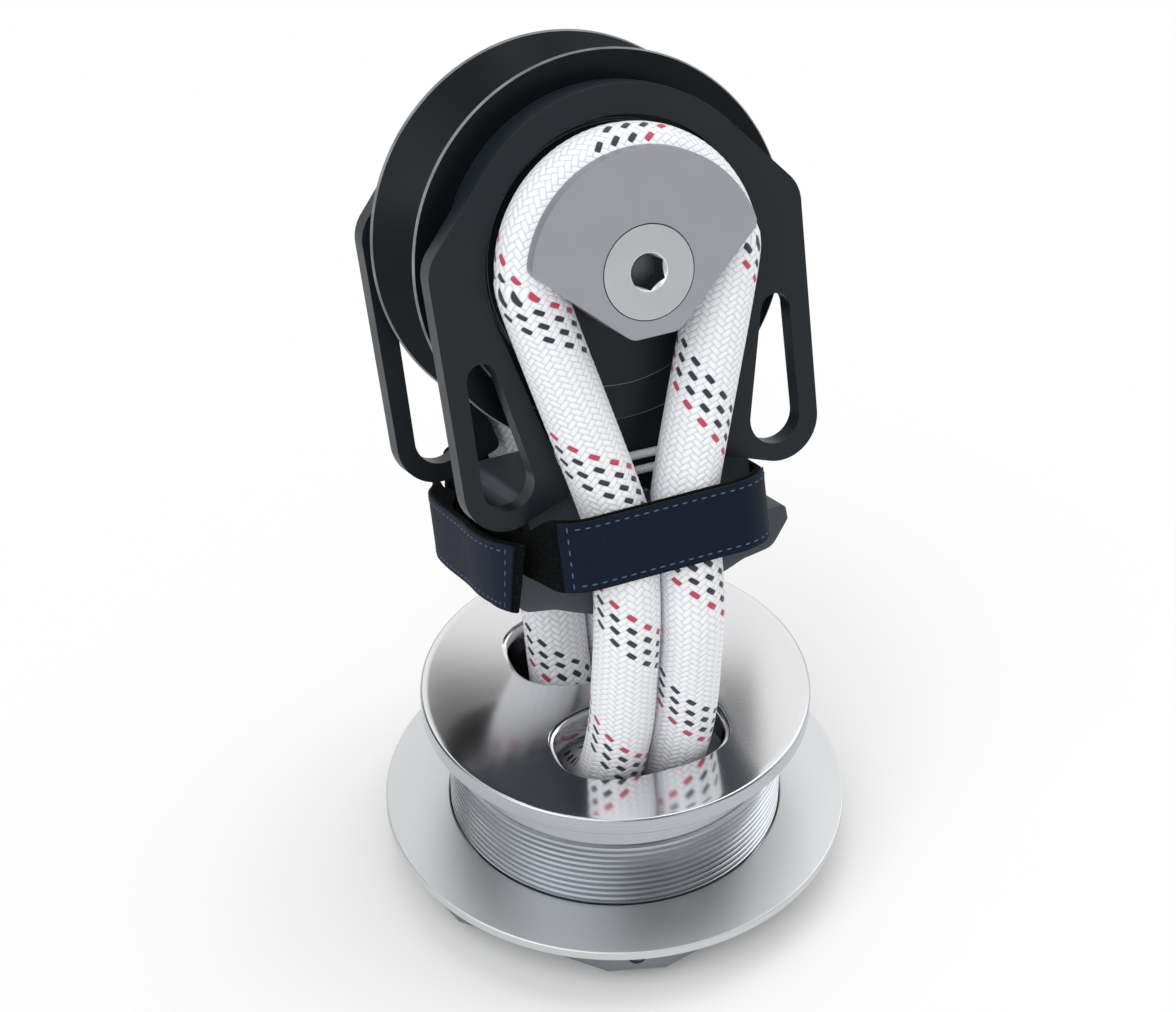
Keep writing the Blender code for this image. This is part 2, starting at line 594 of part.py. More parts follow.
def bearing():
    race = [(SCREW_BORE, RACE_HALF_LENGTH), (RACE_RADIUS, RACE_HALF_LENGTH), (RACE_RADIUS, -RACE_HALF_LENGTH),
            (SCREW_BORE, -RACE_HALF_LENGTH)]
    turned("inner_race", race, STEEL, AXLE, closed=True)
    inner = ROLLER_CIRCLE - CAGE_WALL / 2
    outer = ROLLER_CIRCLE + CAGE_WALL / 2
    section = [(inner, CAGE_HALF_LENGTH), (outer, CAGE_HALF_LENGTH), (outer, -CAGE_HALF_LENGTH),
               (inner, -CAGE_HALF_LENGTH)]
    cage = turned("roller_cage", section, BEARING, AXLE, closed=True)
    pockets = bmesh.new()
    window = (CAGE_WALL * 3, 2 * (ROLLER_RADIUS + SEAT_GAP), 2 * (ROLLER_HALF_LENGTH + SEAT_GAP))
    for i in range(ROLLER_COUNT):
        turn = Matrix.Rotation(2 * math.pi * i / ROLLER_COUNT, 3, "Z")
        made = bmesh.ops.create_cube(pockets, size=1.0)["verts"]
        bmesh.ops.scale(pockets, verts=made, vec=window)
        bmesh.ops.translate(pockets, verts=made, vec=(ROLLER_CIRCLE, 0, 0))
        bmesh.ops.rotate(pockets, verts=made, matrix=turn)
        roller = rod("roller_%02d" % (i + 1), ROLLER_RADIUS, -ROLLER_HALF_LENGTH, ROLLER_HALF_LENGTH, BEARING,
                     AXLE, segments=STEPS_ROLLER)
        roller.location = turn @ Vector((ROLLER_CIRCLE, 0, 0))
    mesh = bpy.data.meshes.new("cage_pockets")
    pockets.to_mesh(mesh)
    pockets.free()
    combine(cage, place(bpy.data.objects.new("cage_pockets", mesh), parent=AXLE, cutter=True), "DIFFERENCE")
    bore = RACE_BORE + RUNNING_GAP
    back = WASHER_OUTER_FACE - WASHER_THICKNESS
    washer = [(bore, WASHER_OUTER_FACE), (WASHER_OUTER, WASHER_OUTER_FACE), (WASHER_OUTER, back),
              (bore, back)]
    for side, axes in SIDES.items():
        turned(side + "_thrust_washer", washer, BEARING, axes, closed=True)


# Side plates, cheeks, posts and caps
def screw_profile(radius, head, top, length, gap=0.0):
    """Countersunk screw with its head's face at height top; a gap makes the seat that it sinks into."""
    below = top - HEAD_LAND
    return [(0, top + 2 * gap), (head + gap, top + 2 * gap), (head + gap, below),
            (radius + gap, below - head + radius), (radius + gap, top - length - gap),
            (0, top - length - gap)]


def side_plate(side, axes):
    """Round plate with a register inside the cheek's arch and a tongue down to the saddle."""
    plate = turned(side + "_side_plate", [(SCREW_BORE, REGISTER_OUTER), (REGISTER_RADIUS, REGISTER_OUTER),
                                          (REGISTER_RADIUS, PLATE_OUTER), (PLATE_RADIUS, PLATE_OUTER),
                                          (PLATE_RADIUS, PLATE_INNER), (SCREW_BORE, PLATE_INNER)],
                   BLACK, axes, steps=STEPS_LARGE, closed=True)
    half = [(TONGUE_HALF_WIDTH, -REGISTER_RADIUS, 0), (TONGUE_HALF_WIDTH, -TONGUE_END, TONGUE_ROUND)]
    outline = rounded(half + [(-x, y, r) for x, y, r in reversed(half)])
    tongue = sheet(side + "_tongue", [outline], PLATE_INNER, TONGUE_OUTER, parent=axes, cutter=True)
    combine(plate, tongue, "UNION")
    for row in SADDLE_SCREW_ROWS:
        hole = rod(side + "_tongue_hole", SADDLE_SCREW_RADIUS + SEAT_GAP, PLATE_INNER - SEAT_GAP,
                   TONGUE_OUTER + SEAT_GAP, parent=axes, cutter=True)
        hole.location = (0, -row, 0)
        combine(plate, hole, "DIFFERENCE")
    return plate


def cheek(side, axes):
    """Cheek: a rounded plate arched round the rope, with a teardrop slot in each ear."""
    half = [(x, y, 0) for x, y in arc(0, 0, CHEEK_TOP_RADIUS, math.pi / 2, CHEEK_TOP_END)]
    half += [CHEEK_SHOULDER, CHEEK_HEEL, CHEEK_TOE]
    half += [(x, y, 0) for x, y in arc(0, 0, ARCH_RADIUS, ARCH_END, math.pi / 2)]
    whole = half[:-1] + [(0, ARCH_RADIUS, 0)] + [(-x, y, r) for x, y, r in reversed(half[1:-1])]
    slot = tapered_slot(SLOT_TOP, SLOT_BOTTOM)
    outlines = [rounded(whole), slot, [(-x, y) for x, y in slot]]
    plate = sheet(side + "_cheek", outlines, CHEEK_INNER, CHEEK_OUTER, BLACK, axes)
    add_bevel(plate, CHEEK_BEVEL)
    return plate


def cheek_screws(side, axes, plate, guard):
    """Screws driven from the sheave's side, their heads sunk in the side plate."""
    for number, angle in enumerate(CHEEK_SCREW_ANGLES, 1):
        spot = Matrix.Rotation(math.radians(angle), 3, "Z") @ Vector((CHEEK_SCREW_CIRCLE, 0, 0))
        sizes = (CHEEK_SCREW_RADIUS, CHEEK_SCREW_HEAD, -PLATE_INNER - CHEEK_SCREW_SUNK, CHEEK_SCREW_LENGTH)
        screw = turned("%s_cheek_screw_%d" % (side, number), screw_profile(*sizes), STEEL, axes,
                       steps=STEPS_SMALL)
        seat = turned("%s_cheek_screw_seat_%d" % (side, number), screw_profile(*sizes, SEAT_GAP), parent=axes,
                      steps=STEPS_SMALL, cutter=True)
        for ob in (screw, seat):
            ob.location = spot
            ob.rotation_euler = (math.pi, 0, 0)
        combine(plate, seat, "DIFFERENCE")
        combine(guard, seat, "DIFFERENCE")


def post_and_cap(side, axes):
    """Grooved post for the rope's bight, its cap and the countersunk screw that holds both to the axle."""
    groove = ROPE_RADIUS + ROPE_SEAT
    reach = math.acos((ROPE_CIRCLE - POST_FLARE) / groove)
    profile = [(0, POST_OUTER), (POST_FLARE, POST_OUTER)]
    profile += arc(ROPE_CIRCLE, ROPE_PLANE, groove, math.pi - reach, math.pi + reach, POST_ARC_STEP)
    profile += [(POST_FLARE, POST_INNER), (0, POST_INNER)]
    post = turned(side + "_rope_post", profile, GREY, axes)
    half = [(x, y, 0) for x, y in arc(0, 0, CAP_RADIUS, math.pi / 2, CAP_TOP_END)]
    half += [CAP_CORNER, CAP_FOOT]
    outline = rounded(half + [(-x, y, r) for x, y, r in reversed(half[1:])])
    trim = sheet(side + "_post_trim", [outline], POST_INNER - CUT_REACH, POST_OUTER + CUT_REACH, parent=axes,
                 cutter=True)
    combine(post, trim, "INTERSECT")
    cap = sheet(side + "_cap", [outline], CAP_INNER, CAP_OUTER, GREY, axes)
    add_bevel(cap, CAP_BEVEL)
    sizes = (SCREW_RADIUS, SCREW_HEAD_RADIUS, CAP_OUTER, SCREW_LENGTH)
    seat = turned(side + "_screw_seat", screw_profile(*sizes, SEAT_GAP), parent=axes, cutter=True)
    combine(post, seat, "DIFFERENCE")
    combine(cap, seat, "DIFFERENCE")
    screw = turned(side + "_cap_screw", screw_profile(*sizes), STEEL, axes)
    socket = rod(side + "_socket", SOCKET_ACROSS_FLATS / math.sqrt(3), CAP_OUTER - SOCKET_DEPTH,
                 CAP_OUTER + SOCKET_DEPTH, parent=axes, cutter=True, segments=6)
    combine(screw, socket, "DIFFERENCE")


# Base saddle
def saddle():
    half = [(0, -SADDLE_TOP, 0), (SADDLE_BELT, -SADDLE_TOP, SADDLE_TOP_ROUND)]
    half.append((SADDLE_BELT, -SADDLE_LEDGE, SADDLE_WAIST_ROUND))
    half += [(x, -SADDLE_LEDGE - depth, radius) for x, depth, radius in SADDLE_FOOT]
    half.append((0, -SADDLE_BOTTOM, 0))
    whole = half + [(-x, y, r) for x, y, r in reversed(half[1:-1])]
    body = sheet("base_saddle", [rounded(whole)], -SADDLE_HALF_THICKNESS, SADDLE_HALF_THICKNESS, GREY, AXLE)
    wide = SADDLE_HALF_THICKNESS
    above = -SADDLE_TOP + CUT_REACH
    skirt = rounded([(wide, above, 0), (wide, -SADDLE_BOTTOM, SADDLE_SKIRT_ROUND),
                     (-wide, -SADDLE_BOTTOM, SADDLE_SKIRT_ROUND), (-wide, above, 0)])
    reach = max(x for x, _, _ in SADDLE_FOOT) + CUT_REACH
    envelope = sheet("saddle_envelope", [skirt], -reach, reach, parent=AXLE, cutter=True)
    envelope.rotation_euler = (0, -math.pi / 2, 0)
    combine(body, envelope, "INTERSECT")
    for side, axes in SIDES.items():
        recess = block(side + "_tongue_recess",
                       (-TONGUE_HALF_WIDTH - RUNNING_GAP, -TONGUE_END - RUNNING_GAP, PLATE_INNER - SEAT_GAP),
                       (TONGUE_HALF_WIDTH + RUNNING_GAP, above, SADDLE_HALF_THICKNESS + CUT_REACH),
                       parent=axes, cutter=True)
        combine(body, recess, "DIFFERENCE")
        for number, row in enumerate(SADDLE_SCREW_ROWS, 1):
            under = TONGUE_OUTER + SEAT_GAP
            top = under + SADDLE_SCREW_HEAD_HEIGHT
            end = under - SADDLE_SCREW_LENGTH
            profile = [(0, top), (SADDLE_SCREW_HEAD - SADDLE_SCREW_CHAMFER, top),
                       (SADDLE_SCREW_HEAD, under + SADDLE_HEAD_EDGE), (SADDLE_SCREW_HEAD, under),
                       (SADDLE_SCREW_RADIUS, under), (SADDLE_SCREW_RADIUS, end), (0, end)]
            screw = turned("%s_saddle_screw_%d" % (side, number), profile, STEEL, axes, steps=STEPS_SMALL)
            hole = rod("%s_saddle_hole_%d" % (side, number), SADDLE_SCREW_RADIUS + SEAT_GAP, end - SEAT_GAP,
                       top, parent=axes, cutter=True)
            for ob in (screw, hole):
                ob.location = (0, -row, 0)
            combine(body, hole, "DIFFERENCE")


# Rope, strap and tie cord
def rope_loop():
    """Endless rope: over the front post, under the bar, over the rear post and back under the bar."""
    to_world = AXLE.matrix_world

    def bight(face):
        """Over one post from the right leg's foot to the left leg's foot."""
        right = [(ROPE_FEET[1], -y, face * ROPE_PLANE) for y in ROPE_FOOT_DEPTHS[::-1]]
        left = [(ROPE_FEET[0], -y, face * ROPE_PLANE) for y in ROPE_FOOT_DEPTHS]
        over = [(x, y, face * ROPE_PLANE)
                for x, y in arc(0, 0, ROPE_CIRCLE, ROPE_LEAVES, math.pi - ROPE_LEAVES, ROPE_ARC_STEP)]
        spread_right = (ROPE_SPREAD[1], -ROPE_SPREAD_DEPTH, face * ROPE_PLANE)
        spread_left = (ROPE_SPREAD[0], -ROPE_SPREAD_DEPTH, face * ROPE_PLANE)
        return [to_world @ Vector(p) for p in right + [spread_right] + over + [spread_left] + left]

    def pair(points, side):
        """One strand of a pair that stands side by side."""
        return [Vector((x + side * ROPE_PAIR, y, RIM_HEIGHT + z)) for x, y, z in points]

    front_down = pair(FRONT_LEGS, -1)
    rear_down = pair(REAR_LEGS, -1)
    loop = bight(1) + front_down + pair([UNDER_BAR], -1) + rear_down[::-1]
    loop += bight(-1)[::-1] + pair(REAR_LEGS, 1) + pair([UNDER_BAR], 1) + pair(FRONT_LEGS, 1)[::-1]
    tube("rope_loop", smooth_route(loop, True, ROPE_STEP), ROPE_RADIUS, ROPE, True, 3)


def strap():
    """Band round the legs and the saddle, and the loose tail outside its left side."""
    inner_l = ROPE_PLANE + ROPE_RADIUS + STRAP_GAP
    inner_x = SADDLE_BELT + ROPE_GAP

    def ring(grow):
        corner = (STRAP_SHOULDER + grow, inner_l + grow, STRAP_ROUND + grow)
        side = (inner_x + grow, STRAP_SIDE, STRAP_ROUND + grow)
        quarter = [corner, side]
        lower = [(x, -y, r) for x, y, r in reversed(quarter)]
        right = quarter + lower
        return rounded(right + [(-x, y, r) for x, y, r in reversed(right)])

    band = sheet("strap_band", [ring(STRAP_THICKNESS), ring(0.0)], *STRAP_BELT, NAVY, AXLE)
    middle = sum(STRAP_BELT) / 2
    for v in band.data.vertices:
        t = min(1.0, max(0.0, (abs(v.co.y) - STRAP_SIDE) / (inner_l - STRAP_SIDE - STRAP_SPREAD_END)))
        share = t * t * (3 - 2 * t)
        upper = v.co.z > middle
        v.co.z += share * (STRAP_FRONT[upper] - STRAP_BELT[upper])
    band.rotation_euler = (-math.pi / 2, 0, 0)
    route = [Vector(p) for p in TAIL_ROUTE]
    sides = []
    for i, p in enumerate(route):
        along = (route[min(i + 1, len(route) - 1)] - route[max(i - 1, 0)]).normalized()
        sides.append(Vector((-along.y, along.x)) * STRAP_THICKNESS / 2)
    outline = [tuple(p + s) for p, s in zip(route, sides)]
    outline += [tuple(p - s) for p, s in zip(route, sides)][::-1]
    tail = sheet("strap_tail", [[(x, -y) for x, y in outline]], *TAIL_EDGES, NAVY, AXLE)
    tail.rotation_euler = (-math.pi / 2, 0, 0)


def tie_cord():
    """Thin lashing round the side plates' tongues, its two ends on the front."""
    route = []
    for k in range(-TIE_LEAD, len(TIE_ROUND) + TIE_LEAD + 1):
        x, l = TIE_ROUND[k % len(TIE_ROUND)]
        drop = TIE_PITCH * k / len(TIE_ROUND)
        route.append(AXLE.matrix_world @ Vector((x, -TIE_START - drop, l)))
    tube("tie_cord", smooth_route(route, False, TIE_STEP), TIE_RADIUS, ROPE, False)


def main():
    padeye_body()
    backing()
    sheave()
    bearing()
    for side, axes in SIDES.items():
        plate = side_plate(side, axes)
        guard = cheek(side, axes)
        cheek_screws(side, axes, plate, guard)
        post_and_cap(side, axes)
    saddle()
    rope_loop()
    strap()
    tie_cord()


main()
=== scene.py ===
"""Looks of a through-deck padeye that carries a loop block.

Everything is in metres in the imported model's frame, +Z up, with the origin at the centre of the
barrel's bottom face. The block is built in its own axes: x to the right, y up along the cheeks and
z along the axle towards the front.
"""
from __future__ import annotations

import json
import logging
import math
from collections.abc import Callable, Iterable, Sequence
from dataclasses import dataclass
from enum import Enum

import bmesh
import bpy
from mathutils import Matrix, Vector

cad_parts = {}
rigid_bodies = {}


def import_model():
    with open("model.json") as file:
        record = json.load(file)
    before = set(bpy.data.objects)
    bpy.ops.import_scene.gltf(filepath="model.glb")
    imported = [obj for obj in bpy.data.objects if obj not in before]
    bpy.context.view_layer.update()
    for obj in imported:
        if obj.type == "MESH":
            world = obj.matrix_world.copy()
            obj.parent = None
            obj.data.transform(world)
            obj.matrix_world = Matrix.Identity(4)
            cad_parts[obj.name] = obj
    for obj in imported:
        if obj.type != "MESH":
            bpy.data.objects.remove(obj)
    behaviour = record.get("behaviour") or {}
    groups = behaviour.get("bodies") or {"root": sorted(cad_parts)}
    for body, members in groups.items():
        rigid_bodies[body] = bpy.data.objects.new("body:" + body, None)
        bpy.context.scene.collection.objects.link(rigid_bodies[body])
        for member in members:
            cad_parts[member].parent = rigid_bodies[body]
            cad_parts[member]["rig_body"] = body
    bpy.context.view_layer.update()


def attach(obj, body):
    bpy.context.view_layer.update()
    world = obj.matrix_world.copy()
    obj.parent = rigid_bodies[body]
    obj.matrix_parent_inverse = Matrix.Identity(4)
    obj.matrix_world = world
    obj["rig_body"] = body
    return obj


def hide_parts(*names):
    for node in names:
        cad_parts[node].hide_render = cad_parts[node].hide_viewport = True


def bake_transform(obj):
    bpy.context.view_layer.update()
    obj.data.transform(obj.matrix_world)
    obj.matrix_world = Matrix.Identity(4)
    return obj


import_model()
LOG = logging.getLogger("padeye")

Point2 = tuple[float, float]
Corner = tuple[float, float, float]
Outline = list[Point2]

FINE_STEPS = 192          # faces round a large turned piece
MEDIUM_STEPS = 96         # round a bearing part, post or cap screw
SMALL_STEPS = 32          # round a pin
FINE_ARC = math.radians(5)
CURVE_STEPS = 48          # fine steps between two points of a cord's route
SHARP_EDGE = math.radians(40)      # edges to bevel are sharper
SHARP_SHADING = math.radians(35)   # and so are edges that stay sharp to the eye
NEARLY_LEVEL = 0.9        # upward part of a face's normal from which it is the dish's
ON_SURFACE = 0.00005      # how near a point lies to the form that it is part of
MERGE = 1e-6
HAIR = 0.0001             # how far a face stands off another
PLAY = 0.0003             # room round a screw, a roller and a tongue
SLACK = 0.0010            # how far a cutter stands out of what it cuts
OVERCUT = 0.0020          # and a longer one
UV_SHIFT = 0.0010         # between the webbing's sides, so that their weave differs


class Body(str, Enum):
    """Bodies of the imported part."""

    PADEYE = "padeye"
    BACKING = "backing"
    NUT = "nut"
    BLOCK = "block"
    SHEAVE = "sheave"
    ROLLERS = "rollers"


class Side(Enum):
    """The two faces of the block, with the turn from the front one."""

    FRONT = ("front", 0.0)
    REAR = ("rear", math.pi)

    def named(self, stem: str) -> str:
        """Name of this side's copy of a piece."""
        return f"{self.value[0]}_{stem}"

    def axes(self) -> Matrix:
        """Axes of this side, z pointing outwards along the axle."""
        return BLOCK_AXES @ Matrix.Rotation(self.value[1], 4, "Y")


@dataclass(frozen=True)
class Stance:
    """How the block stands over the padeye."""

    bend_height: float = 0.0850
    lean: float = math.radians(-20.92)
    twist: float = math.radians(5.5)
    side_shift: float = 0.00195
    axle_height: float = 0.0971

    def matrix(self) -> Matrix:
        """Block axes in the row frame.

        Returns:
            The matrix from the block's axes to the row frame.
        """
        bend = Matrix.Translation((0, 0, self.bend_height)) @ Matrix.Rotation(self.lean, 4, "X")
        axle = Matrix.Translation((self.side_shift, 0, self.axle_height))
        return bend @ axle @ Matrix.Rotation(self.twist, 4, "Z") @ Matrix.Rotation(math.pi / 2, 4, "X")


BLOCK_AXES = Stance().matrix()


@dataclass(frozen=True)
class Stack:
    """Faces of the block's layers, outwards along the axle from its middle."""

    sheave: float = 0.0154
    plate_inner: float = 0.0159
    tongue: float = 0.0183
    plate_outer: float = 0.0203
    register: float = 0.0215
    cheek_inner: float = 0.0206
    cheek_outer: float = 0.0261
    post_inner: float = 0.0218
    rope: float = 0.0305
    post_outer: float = 0.0390
    cap_inner: float = 0.0393
    cap_outer: float = 0.0429


STACK = Stack()


# Shader helpers
def linear(hex_colour: str) -> tuple[float, float, float, float]:
    """Linear RGBA of an sRGB hex colour.

    Args:
        hex_colour: colour such as "#808080".

    Returns:
        The four linear channels, alpha 1.
    """
    channels = [int(hex_colour[i:i + 2], 16) / 255 for i in (1, 3, 5)]
    return (*[c / 12.92 if c <= 0.04045 else ((c + 0.055) / 1.055) ** 2.4 for c in channels], 1.0)


def feed(node: bpy.types.Node, inputs: dict | Sequence) -> None:
    """Set or link the inputs of a node.

    Args:
        node: node to feed.
        inputs: for each input, by name or in order, its value or the socket or node that it is linked
            to. A node gives its first output that is in use.
    """
    for key, value in inputs.items() if isinstance(inputs, dict) else enumerate(inputs):
        if isinstance(value, bpy.types.Node):
            value = next(socket for socket in value.outputs if socket.enabled)
        if isinstance(value, bpy.types.NodeSocket):
            node.id_data.links.new(value, node.inputs[key])
        else:
            node.inputs[key].default_value = value


def add_node(tree: bpy.types.NodeTree, kind: str, inputs: dict | Sequence = (), **settings) -> bpy.types.Node:
    """Add one node with its settings, values and links.

    Args:
        tree: node tree that takes the node.
        kind: Blender's type name of the node after "ShaderNode".
        inputs: its inputs, as feed takes them.
        settings: attributes of the node.

    Returns:
        The new node.
    """
    node = tree.nodes.new("ShaderNode" + kind)
    for key, value in settings.items():
        setattr(node, key, value)
    feed(node, inputs)
    return node


@dataclass(frozen=True)
class Finish:
    """A material made on first use."""

    name: str
    slot: str

    def material(self) -> bpy.types.Material:
        """The finish's material.

        Returns:
            The material, the same one each time.
        """
        found = bpy.data.materials.get(self.name)
        if found:
            return found
        made = bpy.data.materials.new(self.name)
        made.use_nodes = True
        feed(made.node_tree.nodes["Principled BSDF"], self.dress(made.node_tree))
        return made

    def dress(self, tree: bpy.types.NodeTree) -> dict[str, object]:
        """The shader's inputs, with the nodes they come from; each kind of finish has its own."""
        raise NotImplementedError


@dataclass(frozen=True)
class Metal(Finish):
    """Bare or anodised metal with a grain of its own, and a painted highlight on its bevelled edges.

    The grain is a noise in Object coordinates. A real blasted grain is about 0.1 mm across; it is drawn
    0.3 mm and more, so that it shows. The edge attribute is 1 on the faces that a bevel made.
    """

    colour: str = "#c8cacc"
    edge_highlight_colour: str = "#dcdddf"
    metallic: float = 1.0
    specular: float = 0.5
    roughness: float = 0.3
    blotch: float = 0.04
    blotch_mm: float = 11.1
    grain_mm: float = 0.4
    grain_depth_mm: float = 0.004
    edge_highlight_gain: float = 1.6

    def dress(self, tree: bpy.types.NodeTree) -> dict[str, object]:
        """Base colour with a painted highlight on bevelled edges, mottled roughness and a fine grain bump.

        Args:
            tree: node tree of the material.

        Returns:
            The shader's inputs.
        """
        place = add_node(tree, "TexCoord").outputs["Object"]
        edge = add_node(tree, "Attribute", attribute_name="edge").outputs["Fac"]
        cloud = add_node(tree, "TexNoise", {"Vector": place, "Scale": 1000 / self.blotch_mm, "Detail": 3.0})
        # painted highlight: the bevels' faces are mixed towards the pale edge colour, mottled by the cloud
        highlit_edges = add_node(tree, "Math", (edge, cloud), operation="MULTIPLY")
        strong = add_node(tree, "Math", (highlit_edges, self.edge_highlight_gain), operation="MULTIPLY", use_clamp=True)
        tint = add_node(tree, "Mix", {"Factor": strong, "A": linear(self.colour),
                                      "B": linear(self.edge_highlight_colour)}, data_type="RGBA")
        mottle = add_node(tree, "MapRange", {"Value": cloud, "From Min": 0.3, "From Max": 0.7,
                                             "To Min": self.roughness - self.blotch,
                                             "To Max": self.roughness + self.blotch})
        grain = add_node(tree, "TexNoise", {"Vector": place, "Scale": 1000 / self.grain_mm, "Detail": 2.0})
        bump = add_node(tree, "Bump", {"Height": grain, "Distance": self.grain_depth_mm / 1000})
        return {"Base Color": tint, "Roughness": mottle, "Normal": bump, "Metallic": self.metallic,
                "Specular IOR Level": self.specular}


@dataclass(frozen=True)
class TurnedMetal(Finish):
    """Metal faced on a lathe: fine rings round the piece's own axis, which spread light into a fan.

    Real feed marks are about 0.1 mm apart. They are drawn 0.3 mm and more apart, so that they show.
    """

    colour: str = "#c3c6ca"
    ring_colour: str = "#aeb2b8"
    roughness: float = 0.24
    ripple: float = 0.05
    ring_mm: float = 0.45
    ring_depth_mm: float = 0.003
    fan: float = 0.7

    def dress(self, tree: bpy.types.NodeTree) -> dict[str, object]:
        """Rings from the distance to the z axis, in colour, roughness and bump.

        Args:
            tree: node tree of the material.

        Returns:
            The shader's inputs.
        """
        place = add_node(tree, "TexCoord").outputs["Object"]
        flat = add_node(tree, "VectorMath", (place, (1.0, 1.0, 0.0)), operation="MULTIPLY")
        radius = add_node(tree, "VectorMath", [flat], operation="LENGTH")
        height = add_node(tree, "SeparateXYZ", [place]).outputs["Z"]
        along = add_node(tree, "Math", (radius, height), operation="ADD")
        rings = add_node(tree, "TexNoise", {"W": along, "Scale": 1000 / self.ring_mm, "Detail": 2.0},
                         noise_dimensions="1D")
        tint = add_node(tree, "Mix", {"Factor": rings, "A": linear(self.colour),
                                      "B": linear(self.ring_colour)}, data_type="RGBA")
        rough = add_node(tree, "MapRange", {"Value": rings, "To Min": self.roughness - self.ripple,
                                            "To Max": self.roughness + self.ripple})
        bump = add_node(tree, "Bump", {"Height": rings, "Distance": self.ring_depth_mm / 1000})
        tangent = add_node(tree, "Tangent", direction_type="RADIAL", axis="Z")
        return {"Base Color": tint, "Roughness": rough, "Normal": bump, "Tangent": tangent,
                "Anisotropic": self.fan, "Metallic": 1.0}


# The braid's formulae, from a spot's counts of yarns along the rope and round it. Each row has the
# result's name, a Math node's operation and its terms. A float is a yarn's stretch over two others.
FLOAT_FORMULAE = (
    ("left", "SUBTRACT", "round_it", "along"),
    ("right", "ADD", "round_it", "along"),
    ("left_yarn", "FLOOR", "left"),
    ("right_yarn", "FLOOR", "right"),
    ("left_part", "FRACT", "left"),
    ("right_part", "FRACT", "right"),
    ("crossing", "ADD", "left_yarn", "right_yarn"),
    ("phase", "FLOORED_MODULO", "crossing", 4.0),
    ("right_on_top", "LESS_THAN", "phase", 1.5),
    ("apart", "SUBTRACT", "left_part", "right_part"),
    ("run", "MULTIPLY_ADD", "apart", "right_on_top", "right_part"),
    ("both_parts", "ADD", "left_part", "right_part"),
    ("across", "SUBTRACT", "both_parts", "run"),
    ("first_half", "FLOORED_MODULO", "crossing", 2.0),
    ("passed", "ADD", "first_half", "run"),
    ("passed_angle", "MULTIPLY", "passed", math.pi / 2),
    ("across_angle", "MULTIPLY", "across", math.pi),
    ("arch", "SINE", "passed_angle"),
    ("crown", "SINE", "across_angle"),
    ("dome", "MULTIPLY", "arch", "crown"),
    ("raised", "MAXIMUM", "dome", 0.0),
    ("lobe", "SQRT", "raised"),
    ("filament_angle", "MULTIPLY", "across", "filament_turns"),
    ("filament", "SINE", "filament_angle"),
    ("height", "MULTIPLY_ADD", "filament", 0.10, "lobe"))
# The markers are every other yarn of the first seven of the 24 that run to the right.
MARKER_FORMULAE = (
    ("yarn", "FLOORED_MODULO", "right_yarn", 24.0),
    ("odd", "FLOORED_MODULO", "yarn", 2.0),
    ("every_other", "LESS_THAN", "odd", 0.5),
    ("in_group", "LESS_THAN", "yarn", 6.5),
    ("marker", "MULTIPLY", "in_group", "every_other"),
    ("red_one", "LESS_THAN", "yarn", 0.5),
    ("crest", "GREATER_THAN", "lobe", 0.25),
    ("marked_crest", "MULTIPLY", "marker", "crest"),
    ("shown", "MULTIPLY", "marked_crest", "right_on_top"))


@dataclass(frozen=True)
class BraidedRope(Finish):
    """Polyester cover braid of 24 yarns each way, each over two and under two of the others.

    The piece's UV map holds (yarns along the rope, yarns round it). One red and three dark yarns are
    markers. Each float stands out as a long dome, and the creases between floats get painted shade.
    """

    white: str = "#f6f7fa"
    # painted shade in the creases between floats
    crease_shade: str = "#d5dae2"
    crease_shade_range: Point2 = (0.1, 0.6)
    dark: str = "#2b2f37"
    red: str = "#c23f5c"
    marked: bool = True
    filaments: float = 2.0
    depth_mm: float = 0.22
    roughness: float = 0.72
    sheen: float = 0.2

    def dress(self, tree: bpy.types.NodeTree) -> dict[str, object]:
        """Floats from the UV map, in bump and in colour with painted shade in the creases.

        Args:
            tree: node tree of the material.

        Returns:
            The shader's inputs.
        """
        uv = add_node(tree, "SeparateXYZ", [add_node(tree, "UVMap", uv_map="UVMap")])
        known = {"along": uv.outputs["X"], "round_it": uv.outputs["Y"],
                 "filament_turns": 2 * math.pi * self.filaments}
        for name, operation, *terms in FLOAT_FORMULAE + (MARKER_FORMULAE if self.marked else ()):
            values = [known.get(term, term) for term in terms]
            known[name] = add_node(tree, "Math", values, operation=operation)
        # painted shade: the low parts between floats take the darker crease colour
        unshaded_share = add_node(tree, "MapRange", {"Value": known["lobe"], "From Min": self.crease_shade_range[0],
                                             "From Max": self.crease_shade_range[1]})
        colour = add_node(tree, "Mix", {"Factor": unshaded_share, "A": linear(self.crease_shade), "B": linear(self.white)},
                          data_type="RGBA")
        if self.marked:
            shade = add_node(tree, "Mix", {"Factor": known["red_one"], "A": linear(self.dark),
                                           "B": linear(self.red)}, data_type="RGBA")
            colour = add_node(tree, "Mix", {"Factor": known["shown"], "A": colour, "B": shade},
                              data_type="RGBA")
        bump = add_node(tree, "Bump", {"Height": known["height"], "Distance": self.depth_mm / 1000})
        return {"Base Color": colour, "Normal": bump, "Roughness": self.roughness, "Sheen Weight": self.sheen}


